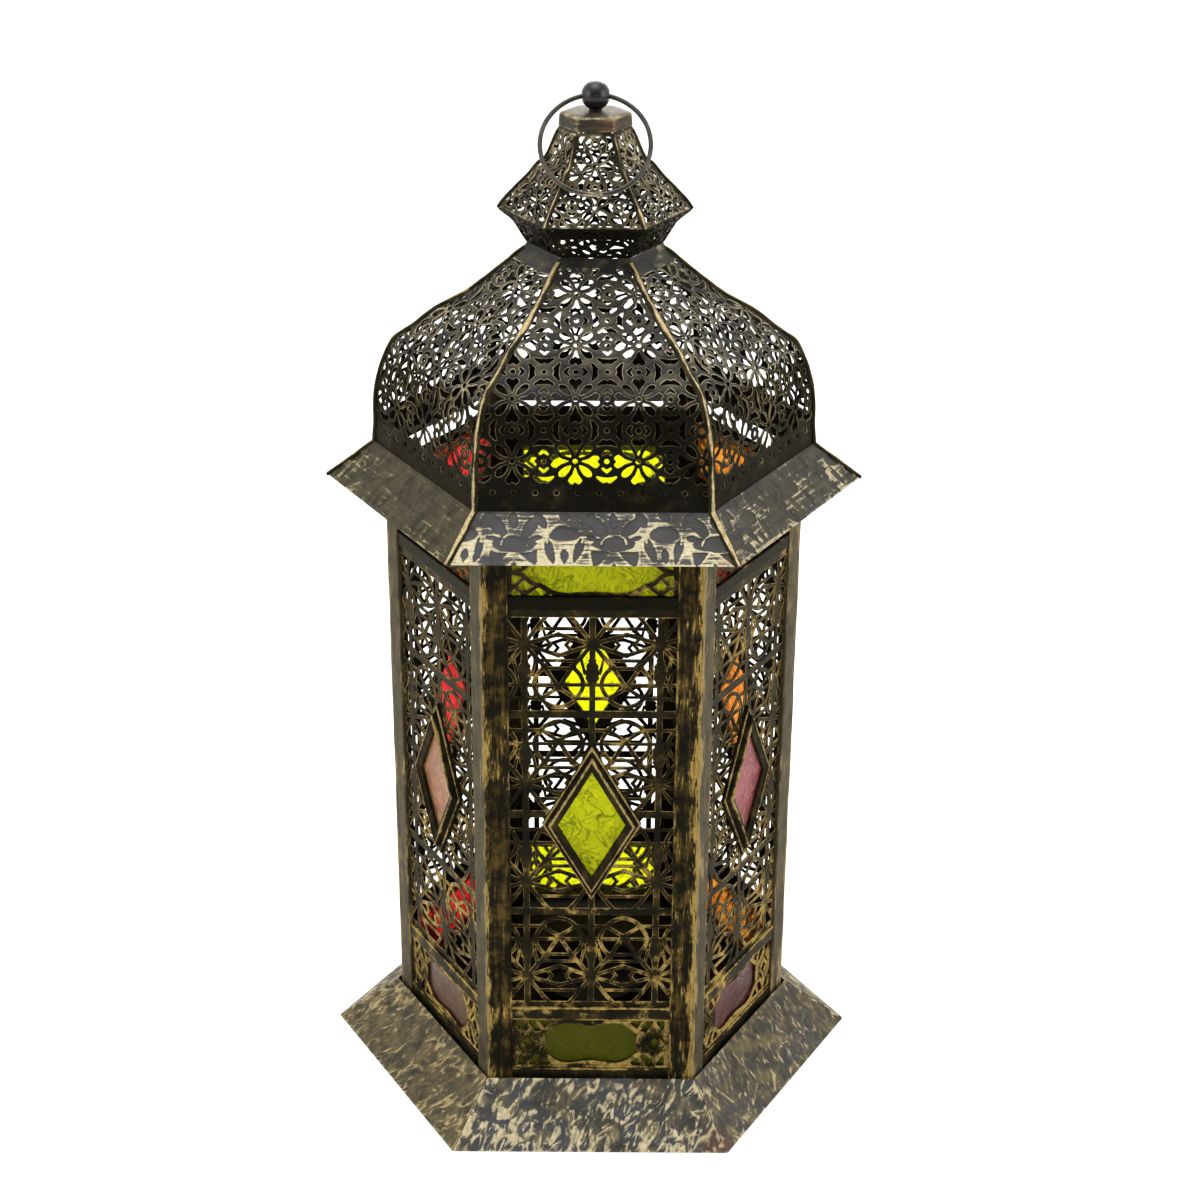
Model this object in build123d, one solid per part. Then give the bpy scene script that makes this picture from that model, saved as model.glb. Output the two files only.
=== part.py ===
from build123d import *
import os
from math import sin, cos, tan, radians, hypot, sqrt

# Hexagonal pierced-metal lantern with coloured glass. Millimetres, +Z up.
# The origin is the centre of the footprint on the ground. The front face looks along -Y,
# and two of the six corners lie on the X axis.

# ---------------------------------------------------------------- driving dimensions
T = 0.8                      # sheet metal
SEAM = 0.12                  # half of the joint left between two sheets at a corner

BASE_R = 120.0               # corner radius of the hem
BASE_TOP_A = 79.3            # apothem of the base slope's upper edge
BASE_TOP_Z = 21.0
BASE_LIP = 7.0               # turned-in hem that the lantern stands on

BODY_R = 90.0                # corner radius of the body's posts
POST_LEG = 10.5              # width of a post's leg on each face
POST_RETURN = 1.8            # fold-back at the edge of each leg
POST_Z0, POST_Z1 = 17.3, 290.6

FLOOR_A = 82.0               # apothem of the floor plate
FLOOR_Z0, FLOOR_Z1 = 16.2, 17.2

PANEL_A = 76.1               # outside face of the body's panels
PANEL_Z0, PANEL_Z1 = 17.4, 281.0

LOWER_WIN = (26.0, 48.0, 21.0)     # lower cartouche: z from, z to, half width
UPPER_WIN = (252.2, 274.0, 27.0)   # upper cartouche
DIAMOND_Z = 148.5
DIAMOND_OUT = (21.0, 37.2)         # half width and half height of the lozenge frame
DIAMOND_IN = (15.0, 26.6)
DIAMOND_PROUD = 4.4
GLASS_T = 1.6
GLASS_HALF_W = 33.0          # panes behind the upper and lower windows reach almost to the posts
GLASS_GAP = 0.15

EAVE_R0, EAVE_Z0 = 114.5, 276.0    # lower edge of the eave
EAVE_R1, EAVE_Z1 = 94.0, 291.5     # upper edge
EAVE_FLANGE_A = 72.0               # inner edge of the flat ledge under the dome

# corner profile of the dome, then of the crown: radius, height
DOME = [(93.8, 291.6), (93.2, 301.0), (93.0, 308.3), (92.3, 315.4), (90.7, 322.4),
        (88.2, 329.5), (84.5, 336.5), (80.2, 340.0), (75.1, 343.4), (66.0, 350.4),
        (53.9, 357.2), (44.4, 364.1), (36.2, 370.8), (29.4, 376.8), (28.4, 378.3)]
CROWN_LOW = [(28.4, 378.5), (30.5, 381.8), (33.6, 386.9), (36.4, 389.3), (39.5, 391.8), (40.0, 392.9)]
CROWN_HOOD = [(40.0, 393.1), (37.3, 396.8), (32.5, 401.8), (27.6, 406.7), (23.5, 411.6),
              (20.0, 414.6), (15.6, 425.0), (14.9, 426.3)]
RIB_W = 3.0                  # width of the strip over each seam
RIB_T = 0.9
HOOD_RIB_T = 0.5

CAP_R0, CAP_R1 = 15.2, 14.6  # hexagonal cap: lower and upper corner radius
CAP_Z0, CAP_Z1 = 426.4, 432.6

BALL_R = 5.85
BALL_Z = 438.6
BALL_HOLE_R = 1.7
STEM_R = 1.5
STEM_HOLE_R = 1.58
NUT_AF = 6.0                 # across flats

RING_R = 22.1                # middle of the wire
RING_WIRE_R = 1.0
RING_OFFSET = 21.8           # centre of the ring from the centre of the ball
RING_LEAN = 40.5             # degrees from straight down, towards the front

CUP_R = 25.3                 # inside of the candle cup
CUP_H = 9.0

DOOR_HALF_W = 33.7
DOOR_Z0, DOOR_Z1 = 22.0, 235.4     # shorter than the other panels, so its rows sit lower
HEADER_Z0 = 236.0
HEADER_WIN = (237.6, 259.4, 27.0)
DOOR_DIAMOND_Z = 140.5
HINGE_X, HINGE_A = 34.1, 79.5      # hinge axis, measured on the door's own face
HINGE_Z = (70.0, 222.0)
KNUCKLE_R = 1.5
PIN_R = 0.8
PIN_HOLE_R = 0.85
LATCH_X, LATCH_Z = 39.6, 148.5     # turn button on the other post
LATCH_LEN, LATCH_W, LATCH_T = 11.5, 5.0, 1.0

FACES = {"front": 0, "front_right": 60, "back_right": 120, "back": 180, "back_left": 240, "front_left": 300}
POSTS = {"front_right": -60, "right": 0, "back_right": 60, "back_left": 120, "left": 180, "front_left": 240}
C30 = cos(radians(30))
T30 = tan(radians(30))

os.makedirs("parts", exist_ok=True)


# ---------------------------------------------------------------- helpers
def write(name, solids):
    """One file for each piece or group of like pieces."""
    solids = solids if isinstance(solids, list) else [solids]
    flat = []
    for s in solids:
        flat += list(s.solids())
    shape = flat[0] if len(flat) == 1 else Compound(flat)
    shape.label = name
    export_step(shape, "parts/" + name + ".step")


def turn(solid, degrees):
    return Rot(0, 0, degrees) * solid


def offset_line(pts, t):
    """The open line moved sideways by t, to its right as it runs, with mitred corners."""
    out = []
    for i, (x, y) in enumerate(pts):
        dirs = []
        if i > 0:
            dx, dy = x - pts[i - 1][0], y - pts[i - 1][1]
            dirs.append((dx / hypot(dx, dy), dy / hypot(dx, dy)))
        if i < len(pts) - 1:
            dx, dy = pts[i + 1][0] - x, pts[i + 1][1] - y
            dirs.append((dx / hypot(dx, dy), dy / hypot(dx, dy)))
        n = [(d[1], -d[0]) for d in dirs]
        if len(n) == 1:
            m, k = n[0], 1.0
        else:
            m = (n[0][0] + n[1][0], n[0][1] + n[1][1])
            length = hypot(*m)
            m = (m[0] / length, m[1] / length)
            k = 1.0 / (m[0] * n[0][0] + m[1] * n[0][1])
        out.append((x + m[0] * t * k, y + m[1] * t * k))
    return out


def strip(line, t):
    """Closed outline of a sheet of thickness t on the right of an open line."""
    return line + offset_line(line, t)[::-1]


def wedge(gap=SEAM, z0=-5.0, z1=480.0):
    """The front sixth of space, less a small joint at each corner plane."""
    far = 160.0
    half = far * T30 - gap / C30
    f = Face(Wire.make_polygon([Vector(0, -2 * gap, z0), Vector(half, -far, z0), Vector(-half, -far, z0)], close=True))
    return extrude(f, amount=z1 - z0, dir=(0, 0, 1))


def profile_plate(outline, gap=SEAM, z0=-5.0, z1=480.0):
    """A front face plate from its outline in apothem and height, mitred at both corners."""
    f = Face(Wire.make_polygon([Vector(0, -a, z) for a, z in outline], close=True))
    return extrude(f, amount=100.0, dir=(1, 0, 0), both=True) & wedge(gap, z0, z1)


def slab(pts, a_in, a_out):
    """A flat front piece from its outline in x and z, between two distances from the axis."""
    f = Face(Wire.make_polygon([Vector(x, -a_out, z) for x, z in pts], close=True))
    return extrude(f, amount=a_out - a_in, dir=(0, 1, 0))


def rect(x0, x1, z0, z1):
    return [(x0, z0), (x1, z0), (x1, z1), (x0, z1)]


def lozenge(half_w, half_h, z):
    return [(0, z - half_h), (half_w, z), (0, z + half_h), (-half_w, z)]


def cartouche(z0, z1, half):
    """Window with bracket ends: a flat top and bottom, a shoulder and a point at each side."""
    h, zc = (z1 - z0) / 2, (z0 + z1) / 2
    return [(-half * 0.62, z0), (half * 0.62, z0), (half * 0.70, zc - h * 0.62), (half * 0.86, zc - h * 0.45),
            (half, zc), (half * 0.86, zc + h * 0.45), (half * 0.70, zc + h * 0.62), (half * 0.62, z1),
            (-half * 0.62, z1), (-half * 0.70, zc + h * 0.62), (-half * 0.86, zc + h * 0.45), (-half, zc),
            (-half * 0.86, zc - h * 0.45), (-half * 0.70, zc - h * 0.62)]


def hexagon(a, z):
    r = a / C30
    return Face(Wire.make_polygon([Vector(r * cos(radians(60 * k)), r * sin(radians(60 * k)), z) for k in range(6)], close=True))


def six(solid):
    return [turn(solid, d) for d in FACES.values()]


def corner_strip(line, t, width):
    """A strip that lies over the +X corner, from its line in radius and height."""
    f = Face(Wire.make_polygon([Vector(r, 0, z) for r, z in strip(line, t)], close=True))
    return extrude(f, amount=width / 2, dir=(0, 1, 0), both=True)


def cylinder_y(r, x, z, a0, a1):
    """A round bar across a front face, between two distances from the axis."""
    return Pos(x, -(a0 + a1) / 2, z) * Rot(90, 0, 0) * Cylinder(r, a1 - a0)


# ---------------------------------------------------------------- base, floor and candle cup
hem_a = BASE_R * C30
base_line = [(hem_a - BASE_LIP, 0.0), (hem_a, 0.0), (BASE_TOP_A, BASE_TOP_Z)]
base_plate = profile_plate(strip(base_line, -T))
write("base_plates", six(base_plate))

floor_plate = extrude(hexagon(FLOOR_A, FLOOR_Z0), amount=FLOOR_Z1 - FLOOR_Z0, dir=(0, 0, 1))
write("floor_plate", floor_plate)

cup = Pos(0, 0, FLOOR_Z1 + 0.02 + CUP_H / 2) * Cylinder(CUP_R + T, CUP_H)
cup -= Pos(0, 0, FLOOR_Z1 + 0.02 + T + CUP_H / 2) * Cylinder(CUP_R, CUP_H)
write("candle_cup", cup)

# ---------------------------------------------------------------- corner posts
body_a = BODY_R * C30


def post_solid():
    """A folded angle at the +X corner, with a return along each edge."""
    n0, n1 = (C30, -0.5), (C30, 0.5)
    c = (BODY_R, 0.0)
    p0 = (c[0] - 0.5 * POST_LEG, -C30 * POST_LEG)
    p1 = (c[0] - 0.5 * POST_LEG, C30 * POST_LEG)
    r0 = (p0[0] - n0[0] * POST_RETURN, p0[1] - n0[1] * POST_RETURN)
    r1 = (p1[0] - n1[0] * POST_RETURN, p1[1] - n1[1] * POST_RETURN)
    outline = strip([r0, p0, c, p1, r1], -T)
    f = Face(Wire.make_polygon([Vector(x, y, POST_Z0) for x, y in outline], close=True))
    return extrude(f, amount=POST_Z1 - POST_Z0, dir=(0, 0, 1))


post = post_solid()
rivet_hole = turn(cylinder_y(1.05, -LATCH_X, LATCH_Z, 70.0, 85.0), FACES["back"])
for name, angle in POSTS.items():
    p = turn(post, angle)
    if name == "back_right":
        p = p - rivet_hole
    write("corner_post_" + name, p)

# ---------------------------------------------------------------- body panels, windows and lozenges
panel_cuts = [slab(cartouche(*LOWER_WIN), 60, 90), slab(lozenge(*DIAMOND_IN, DIAMOND_Z), 60, 90)]
upper_cut = slab(cartouche(*UPPER_WIN), 60, 90)
panel = slab(rect(-60, 60, PANEL_Z0, PANEL_Z1), PANEL_A - T, PANEL_A) & wedge(0.3)
for c in panel_cuts + [upper_cut]:
    panel = panel - c
for name, d in FACES.items():
    if name != "back":
        write("side_panel_" + name, turn(panel, d))

lozenge_frame = slab(lozenge(*DIAMOND_OUT, DIAMOND_Z), PANEL_A + 0.02, PANEL_A + 2.6)
lozenge_frame += slab(lozenge(DIAMOND_OUT[0] - 2.0, DIAMOND_OUT[1] - 3.6, DIAMOND_Z), PANEL_A + 2.6, PANEL_A + DIAMOND_PROUD)
lozenge_frame -= slab(lozenge(*DIAMOND_IN, DIAMOND_Z), 60, 90)
glass_a1 = PANEL_A - T - GLASS_GAP
glass_a0 = glass_a1 - GLASS_T
lozenge_glass = slab(lozenge(DIAMOND_IN[0] - 0.12, DIAMOND_IN[1] - 0.22, DIAMOND_Z), PANEL_A + 0.95, PANEL_A + 0.95 + GLASS_T)
upper_glass = slab(rect(-GLASS_HALF_W, GLASS_HALF_W, UPPER_WIN[0] - 1.3, UPPER_WIN[1] + 3.0), glass_a0, glass_a1)
lower_glass = slab(rect(-GLASS_HALF_W, GLASS_HALF_W, LOWER_WIN[0] - 3, LOWER_WIN[1] + 3), glass_a0, glass_a1)
door_drop = Pos(0, 0, DOOR_DIAMOND_Z - DIAMOND_Z)
header_drop = Pos(0, 0, HEADER_WIN[0] - UPPER_WIN[0])
for name, d in FACES.items():
    write("diamond_frame_" + name, turn(door_drop * lozenge_frame if name == "back" else lozenge_frame, d))
    write("diamond_glass_" + name, turn(door_drop * lozenge_glass if name == "back" else lozenge_glass, d))
    write("upper_glass_" + name, turn(header_drop * upper_glass if name == "back" else upper_glass, d))
    write("lower_glass_" + name, turn(lower_glass, d))

# ---------------------------------------------------------------- door on the back face
back = FACES["back"]
door = slab(rect(-DOOR_HALF_W, DOOR_HALF_W, DOOR_Z0, DOOR_Z1), PANEL_A - T, PANEL_A)
for c in (panel_cuts[0], door_drop * panel_cuts[1]):
    door = door - c
for side in (-1, 1):
    x0, x1 = sorted((side * DOOR_HALF_W, side * (DOOR_HALF_W - T)))
    door = door + slab(rect(x0, x1, DOOR_Z0, DOOR_Z1), PANEL_A - T, PANEL_A + POST_RETURN)
write("door_panel", turn(door, back))

header = slab(rect(-60, 60, HEADER_Z0, PANEL_Z1), PANEL_A - T, PANEL_A) & wedge(0.3)
header = header - slab(cartouche(*HEADER_WIN), 60, 90)
write("door_header", turn(header, back))

leaves, knuckles, pins = [], [], []
for zc in HINGE_Z:
    bore = Pos(HINGE_X, -HINGE_A, zc) * Cylinder(PIN_HOLE_R, 30)
    moving = Pos(HINGE_X, -HINGE_A, zc) * Cylinder(KNUCKLE_R, 8.0)
    moving += slab(rect(HINGE_X - 3.8, HINGE_X, zc - 4.0, zc + 4.0), HINGE_A - KNUCKLE_R + 0.05, HINGE_A - 0.5)
    moving += slab(rect(HINGE_X - 3.8, HINGE_X - 1.35, zc - 4.0, zc + 4.0), PANEL_A + 0.02, HINGE_A - 0.5)
    knuckles.append(turn(moving - bore, back))
    fixed = None
    for s in (-1, 1):
        k = Pos(HINGE_X, -HINGE_A, zc + s * 6.8) * Cylinder(KNUCKLE_R, 5.0)
        k += slab(rect(HINGE_X, HINGE_X + 8.5, zc + s * 6.8 - 2.5, zc + s * 6.8 + 2.5), body_a + 0.05, body_a + 0.85)
        fixed = k if fixed is None else fixed + k
    fixed += slab(rect(HINGE_X + 2.2, HINGE_X + 8.5, zc - 5.0, zc + 5.0), body_a + 0.05, body_a + 0.85)
    leaves.append(turn(fixed - bore, back))
    pin = Pos(HINGE_X, -HINGE_A, zc) * Cylinder(PIN_R, 19.4)
    pin += Pos(HINGE_X, -HINGE_A, zc + 10.2) * Cylinder(1.35, 1.6)
    pins.append(turn(pin, back))
write("door_hinge_leaves", leaves)
write("door_hinge_knuckles", knuckles)
write("hinge_pins", pins)

# turn button: hangs straight down when undone, and turns across the door's edge
button_a0 = body_a + 0.35
button = slab(rect(-LATCH_X - LATCH_W / 2, -LATCH_X + LATCH_W / 2, LATCH_Z - LATCH_LEN, LATCH_Z), button_a0, button_a0 + LATCH_T)
button += cylinder_y(LATCH_W / 2, -LATCH_X, LATCH_Z, button_a0, button_a0 + LATCH_T)
button += cylinder_y(LATCH_W / 2, -LATCH_X, LATCH_Z - LATCH_LEN, button_a0, button_a0 + LATCH_T)
button -= cylinder_y(1.08, -LATCH_X, LATCH_Z, 70, 90)
write("latch_button", turn(button, back))
rivet = cylinder_y(1.0, -LATCH_X, LATCH_Z, body_a - T - 1.0, button_a0 + LATCH_T + 0.4)
rivet += cylinder_y(2.0, -LATCH_X, LATCH_Z, button_a0 + LATCH_T + 0.3, button_a0 + LATCH_T + 1.2)
rivet += cylinder_y(1.8, -LATCH_X, LATCH_Z, body_a - T - 1.2, body_a - T - 0.05)
write("latch_rivet", turn(rivet, back))

# ---------------------------------------------------------------- eave and dome
eave_line = [(EAVE_R0 * C30, EAVE_Z0), (EAVE_R1 * C30, EAVE_Z1), (EAVE_FLANGE_A, EAVE_Z1)]
write("eave_plates", six(profile_plate(strip(eave_line, -T))))

dome_line = [(r * C30, z) for r, z in DOME]
dome = profile_plate(strip(dome_line, -T), z0=DOME[0][1], z1=DOME[-1][1])
for name, d in FACES.items():
    write("dome_panel_" + name, turn(dome, d))

rib_line = [(EAVE_R0, EAVE_Z0), (EAVE_R1, EAVE_Z1), *DOME[1:-1]]
rib_line = offset_line(rib_line, 0.08)
rib = corner_strip(rib_line, RIB_T, RIB_W) & (Pos(0, 0, 330) * Box(400, 400, 2 * (330 - EAVE_Z0)))
write("dome_seam_ribs", [turn(rib, 60 * k) for k in range(6)])

# ---------------------------------------------------------------- crown, cap and finial
low = profile_plate(strip([(r * C30, z) for r, z in CROWN_LOW], -T), z0=CROWN_LOW[0][1], z1=CROWN_LOW[-1][1])
write("crown_underside", six(low))
hood = profile_plate(strip([(r * C30, z) for r, z in CROWN_HOOD], -T), z0=CROWN_HOOD[0][1], z1=CROWN_HOOD[-1][1])
write("crown_hood", six(hood))
hood_rib_line = offset_line(CROWN_HOOD[:-1], 0.08)
hood_rib = corner_strip(hood_rib_line, HOOD_RIB_T, 1.8) & (Pos(0, 0, (393.1 + 424.8) / 2) * Box(200, 200, 424.8 - 393.1))
write("crown_seam_ribs", [turn(hood_rib, 60 * k) for k in range(6)])

cap = loft([hexagon(CAP_R0 * C30, CAP_Z0), hexagon(CAP_R1 * C30, CAP_Z1 - 0.8)])
cap += loft([hexagon(CAP_R1 * C30, CAP_Z1 - 0.8), hexagon(9.0, CAP_Z1)])
cap -= extrude(hexagon(11.4, CAP_Z0), amount=4.2, dir=(0, 0, 1))
cap -= Pos(0, 0, CAP_Z1) * Cylinder(STEM_HOLE_R, 20)
write("top_cap", cap)

finial = Pos(0, 0, BALL_Z) * Sphere(BALL_R)
finial += Pos(0, 0, (CAP_Z1 + 0.03 + BALL_Z - 4.4) / 2) * Cylinder(2.6, BALL_Z - 4.4 - CAP_Z1 - 0.03)
finial += Pos(0, 0, (423.5 + BALL_Z - 4.5) / 2) * Cylinder(STEM_R, BALL_Z - 4.5 - 423.5)
finial -= Pos(0, 0, BALL_Z) * Rot(0, 90, 0) * Cylinder(BALL_HOLE_R, 20)
write("ball_finial", finial)

nut = extrude(hexagon(NUT_AF / 2, 427.5), amount=3.0, dir=(0, 0, 1)) - Pos(0, 0, 429) * Cylinder(STEM_R + 0.06, 20)
write("finial_nut", nut)

lean = radians(RING_LEAN)
down = Vector(0, -sin(lean), -cos(lean))
centre = Vector(0, 0, BALL_Z) + down * RING_OFFSET
ring_plane = Plane(origin=centre, x_dir=(1, 0, 0), z_dir=(0, cos(lean), -sin(lean)))
write("hanging_ring", ring_plane * Torus(RING_R, RING_WIRE_R))
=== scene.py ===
import math
import bpy
import numpy as np
from mathutils import Euler, Matrix, Vector, noise
from mathutils.geometry import delaunay_2d_cdt


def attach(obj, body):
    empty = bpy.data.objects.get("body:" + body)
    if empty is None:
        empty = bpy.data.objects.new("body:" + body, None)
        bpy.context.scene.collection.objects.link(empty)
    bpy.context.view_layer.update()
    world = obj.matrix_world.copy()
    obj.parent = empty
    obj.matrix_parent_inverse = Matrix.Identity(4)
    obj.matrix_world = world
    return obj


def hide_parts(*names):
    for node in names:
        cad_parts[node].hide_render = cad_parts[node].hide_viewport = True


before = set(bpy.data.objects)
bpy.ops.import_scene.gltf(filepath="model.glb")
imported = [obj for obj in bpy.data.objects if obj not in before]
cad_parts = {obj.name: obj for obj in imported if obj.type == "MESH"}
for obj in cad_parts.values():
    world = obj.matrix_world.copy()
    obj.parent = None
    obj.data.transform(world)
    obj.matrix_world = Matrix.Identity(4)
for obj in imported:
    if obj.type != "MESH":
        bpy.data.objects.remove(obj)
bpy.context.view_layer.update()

MM = 0.001
C30 = math.cos(math.radians(30))
T30 = math.tan(math.radians(30))
FACES = {"front": 0, "front_right": 60, "back_right": 120, "back": 180, "back_left": 240, "front_left": 300}
POSTS = {"front_right": -60, "right": 0, "back_right": 60, "back_left": 120, "left": 180, "front_left": 240}
SHEET = 0.8

DOME = [(93.8, 291.6), (93.2, 301.0), (93.0, 308.3), (92.3, 315.4), (90.7, 322.4), (88.2, 329.5), (84.5, 336.5),
        (80.2, 340.0), (75.1, 343.4), (66.0, 350.4), (53.9, 357.2), (44.4, 364.1), (36.2, 370.8), (29.4, 376.8), (28.4, 378.3)]
CROWN_LOW = [(28.4, 378.5), (30.5, 381.8), (33.6, 386.9), (36.4, 389.3), (39.5, 391.8), (40.0, 392.9)]
CROWN_HOOD = [(40.0, 393.1), (37.3, 396.8), (32.5, 401.8), (27.6, 406.7), (23.5, 411.6), (20.0, 414.6), (15.6, 425.0), (14.9, 426.3)]


# ------------------------------------------------------------------ plane geometry
def arr(p):
    return np.asarray(p, float)


def unit(v):
    return v / np.maximum(np.linalg.norm(v, axis=-1, keepdims=True), 1e-12)


def ccw(p):
    p = arr(p)
    x, y = p[:, 0], p[:, 1]
    return p if np.sum(x * np.roll(y, -1) - np.roll(x, -1) * y) > 0 else p[::-1]


def grow(poly, d):
    """A closed outline moved outwards by d, with mitred corners."""
    p = ccw(poly)
    d0, d1 = unit(p - np.roll(p, 1, 0)), unit(np.roll(p, -1, 0) - p)
    n0, n1 = np.c_[d0[:, 1], -d0[:, 0]], np.c_[d1[:, 1], -d1[:, 0]]
    m = unit(n0 + n1)
    k = 1.0 / np.maximum((m * n0).sum(1), 0.55)
    return p + m * (d * k)[:, None]


def band(points, hw):
    """The outline of a bar of half width hw along an open line."""
    p = arr(points)
    d = unit(np.diff(p, axis=0))
    d0, d1 = np.vstack([d[:1], d]), np.vstack([d, d[-1:]])
    n0, n1 = np.c_[-d0[:, 1], d0[:, 0]], np.c_[-d1[:, 1], d1[:, 0]]
    m = unit(n0 + n1)
    k = 1.0 / np.maximum((m * n0).sum(1), 0.45)
    off = m * (hw * k)[:, None]
    return ccw(np.vstack([p + off, (p - off)[::-1]]))


def disc(x, y, r, n=10, start=0.0):
    a = start + np.arange(n) * 2 * math.pi / n
    return np.c_[x + r * np.cos(a), y + r * np.sin(a)]


def rect(x0, x1, y0, y1):
    return arr([(x0, y0), (x1, y0), (x1, y1), (x0, y1)])


def soften(poly, times=1, cut=0.25):
    """Corners cut off a closed outline."""
    p = arr(poly)
    for _ in range(times):
        q = np.roll(p, -1, 0)
        p = np.stack([p * (1 - cut) + q * cut, p * cut + q * (1 - cut)], 1).reshape(-1, 2)
    return p


def spline(points, per=6):
    """A smooth open line through the points."""
    p = arr(points)
    e = np.vstack([2 * p[0] - p[1], p, 2 * p[-1] - p[-2]])
    out = []
    for i in range(1, len(e) - 2):
        for t in np.arange(per) / per:
            a, b, c, d = e[i - 1], e[i], e[i + 1], e[i + 2]
            out.append(0.5 * (2 * b + (c - a) * t + (2 * a - 5 * b + 4 * c - d) * t * t + (3 * b - a - 3 * c + d) * t ** 3))
    out.append(p[-1])
    return arr(out)


def move(poly, dx=0.0, dy=0.0, scale=1.0, quarter=0):
    p = arr(poly) * scale
    for _ in range(quarter % 4):
        p = np.c_[-p[:, 1], p[:, 0]]
    return p + arr((dx, dy))


def triangulate(polys, lines=()):
    """Triangles of everything inside the outlines, and for each the outlines that hold it."""
    pts, faces, edges = [], [], []
    for p in polys:
        b = len(pts)
        pts += [Vector((float(x), float(y))) for x, y in ccw(p)]
        faces.append(list(range(b, b + len(p))))
    for l in lines:
        b = len(pts)
        pts += [Vector((float(x), float(y))) for x, y in l]
        edges += [(b + i, b + i + 1) for i in range(len(l) - 1)]
    v, _, f, _, _, held = delaunay_2d_cdt(pts, edges, faces, 0, 1e-4, True)
    return arr([(p.x, p.y) for p in v]), np.array([list(t) for t in f], int), [set(h) for h in held]


def wobble(p, size, amount):
    """A slow uneven swell, the same wherever two sheets meet; p in millimetres."""
    return arr([noise.noise(Vector(q) / size) for q in p]) * amount


# ------------------------------------------------------------------ building meshes
class Build:
    """One piece: its vertices with their wear (on the glass panes painted shade and haze), copper, tone (on the posts
    painted side light) and flat coordinates, and its faces with their finish.
    """

    def __init__(self):
        self.v, self.f, self.m, self.w, self.u, self.c, self.k, self.n = [], [], [], [], [], [], [], 0

    def add(self, verts, faces, wear_and_pane_shade, flat, finish=0, turn=0.0, copper=None, tone_and_side_light=0.0):
        verts = arr(verts)
        if turn:
            a = math.radians(turn)
            x, y = verts[:, 0].copy(), verts[:, 1].copy()
            verts = np.c_[x * math.cos(a) - y * math.sin(a), x * math.sin(a) + y * math.cos(a), verts[:, 2]]
        self.v.append(verts)
        self.w.append(np.broadcast_to(arr(wear_and_pane_shade), (len(verts),)))
        self.c.append(np.broadcast_to(arr(0.0 if copper is None else copper), (len(verts),)))
        self.k.append(np.broadcast_to(arr(tone_and_side_light), (len(verts),)))
        self.u.append(arr(flat))
        for k, face in enumerate(faces):
            self.f.append([int(i) + self.n for i in face])
            self.m.append(finish if isinstance(finish, int) else int(finish[k]))
        self.n += len(verts)

    def piece(self, name, body, nodes, slot, finishes, sharp=35.0):
        me = bpy.data.meshes.new(name)
        v = np.vstack(self.v) * MM
        me.from_pydata(v.tolist(), [], self.f)
        for mat in finishes:
            me.materials.append(mat)
        me.polygons.foreach_set("material_index", np.array(self.m, np.int32))
        for key, data in (("wear_and_pane_shade", self.w), ("copper", self.c), ("tone_and_side_light", self.k)):
            a = me.attributes.new(key, "FLOAT", "POINT")
            a.data.foreach_set("value", np.concatenate(data).astype(np.float32))
        a = me.attributes.new("flat", "FLOAT_VECTOR", "POINT")
        a.data.foreach_set("vector", np.vstack(self.u).astype(np.float32).ravel())
        me.validate(clean_customdata=False)
        me.shade_smooth()
        me.set_sharp_from_angle(angle=math.radians(sharp))
        ob = bpy.data.objects.new(name, me)
        bpy.context.scene.collection.objects.link(ob)
        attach(ob, body)
        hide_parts(*nodes)
        return ob


def closed_sheet(xy, tri, keep, low, place, depth, drop, seed, build, turn, wear_low=1.0, wear_top=0.0, shade_below=None):
    """A sheet from kept triangles: outside, inside and the walls of every opening."""
    tri = tri[keep]
    used = np.unique(tri)
    index = -np.ones(len(xy), int)
    index[used] = np.arange(len(used))
    tri = index[tri]
    xy, low = xy[used], low[used]
    n = len(xy)
    outer = place(xy, np.where(low, -drop, 0.0))
    inner = place(xy, np.full(n, -depth))
    edges = {}
    for a, b, c in tri:
        for e in ((a, b), (b, c), (c, a)):
            edges[e] = True
    walls = [(j, i, i + n, j + n) for (i, j) in edges if (j, i) not in edges]
    faces = [tuple(t) for t in tri] + [(c + n, b + n, a + n) for a, b, c in tri] + walls
    # faces whose middle lies below shade_below take finish 2, the darker copy: painted shade
    front = [0 if shade_below is None or xy[t, 1].mean() > shade_below else 2 for t in tri]
    finish = front + [1] * len(tri) + [0 if shade_below is None or xy[w[0], 1] > shade_below else 2 for w in walls]
    top = wear_top(xy) if callable(wear_top) else np.full(n, wear_top)
    wear_and_pane_shade = np.concatenate([np.where(low, wear_low, top), np.full(n, 0.0)])
    flat = np.c_[np.vstack([xy, xy]), np.full(2 * n, float(seed))]
    build.add(np.vstack([outer, inner]), faces, wear_and_pane_shade, flat, finish, turn)


def swept(loop, path_frames, wear_and_pane_shade, flat, build, finish=0, turn=0.0, caps=True, copper=None, tone_and_side_light=0.0):
    """A closed tube: path_frames[k] is the loop's points at station k, all counter-clockwise seen from the path's start."""
    k, m = len(path_frames), loop
    verts = np.vstack(path_frames)
    faces = []
    for i in range(k - 1):
        for j in range(m):
            a, b = i * m + j, i * m + (j + 1) % m
            faces.append((a, b, b + m, a + m))
    if caps:
        faces.append(tuple(range(m))[::-1])
        faces.append(tuple((k - 1) * m + j for j in range(m)))
    build.add(verts, faces, wear_and_pane_shade, flat, finish, turn, copper, tone_and_side_light)


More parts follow.
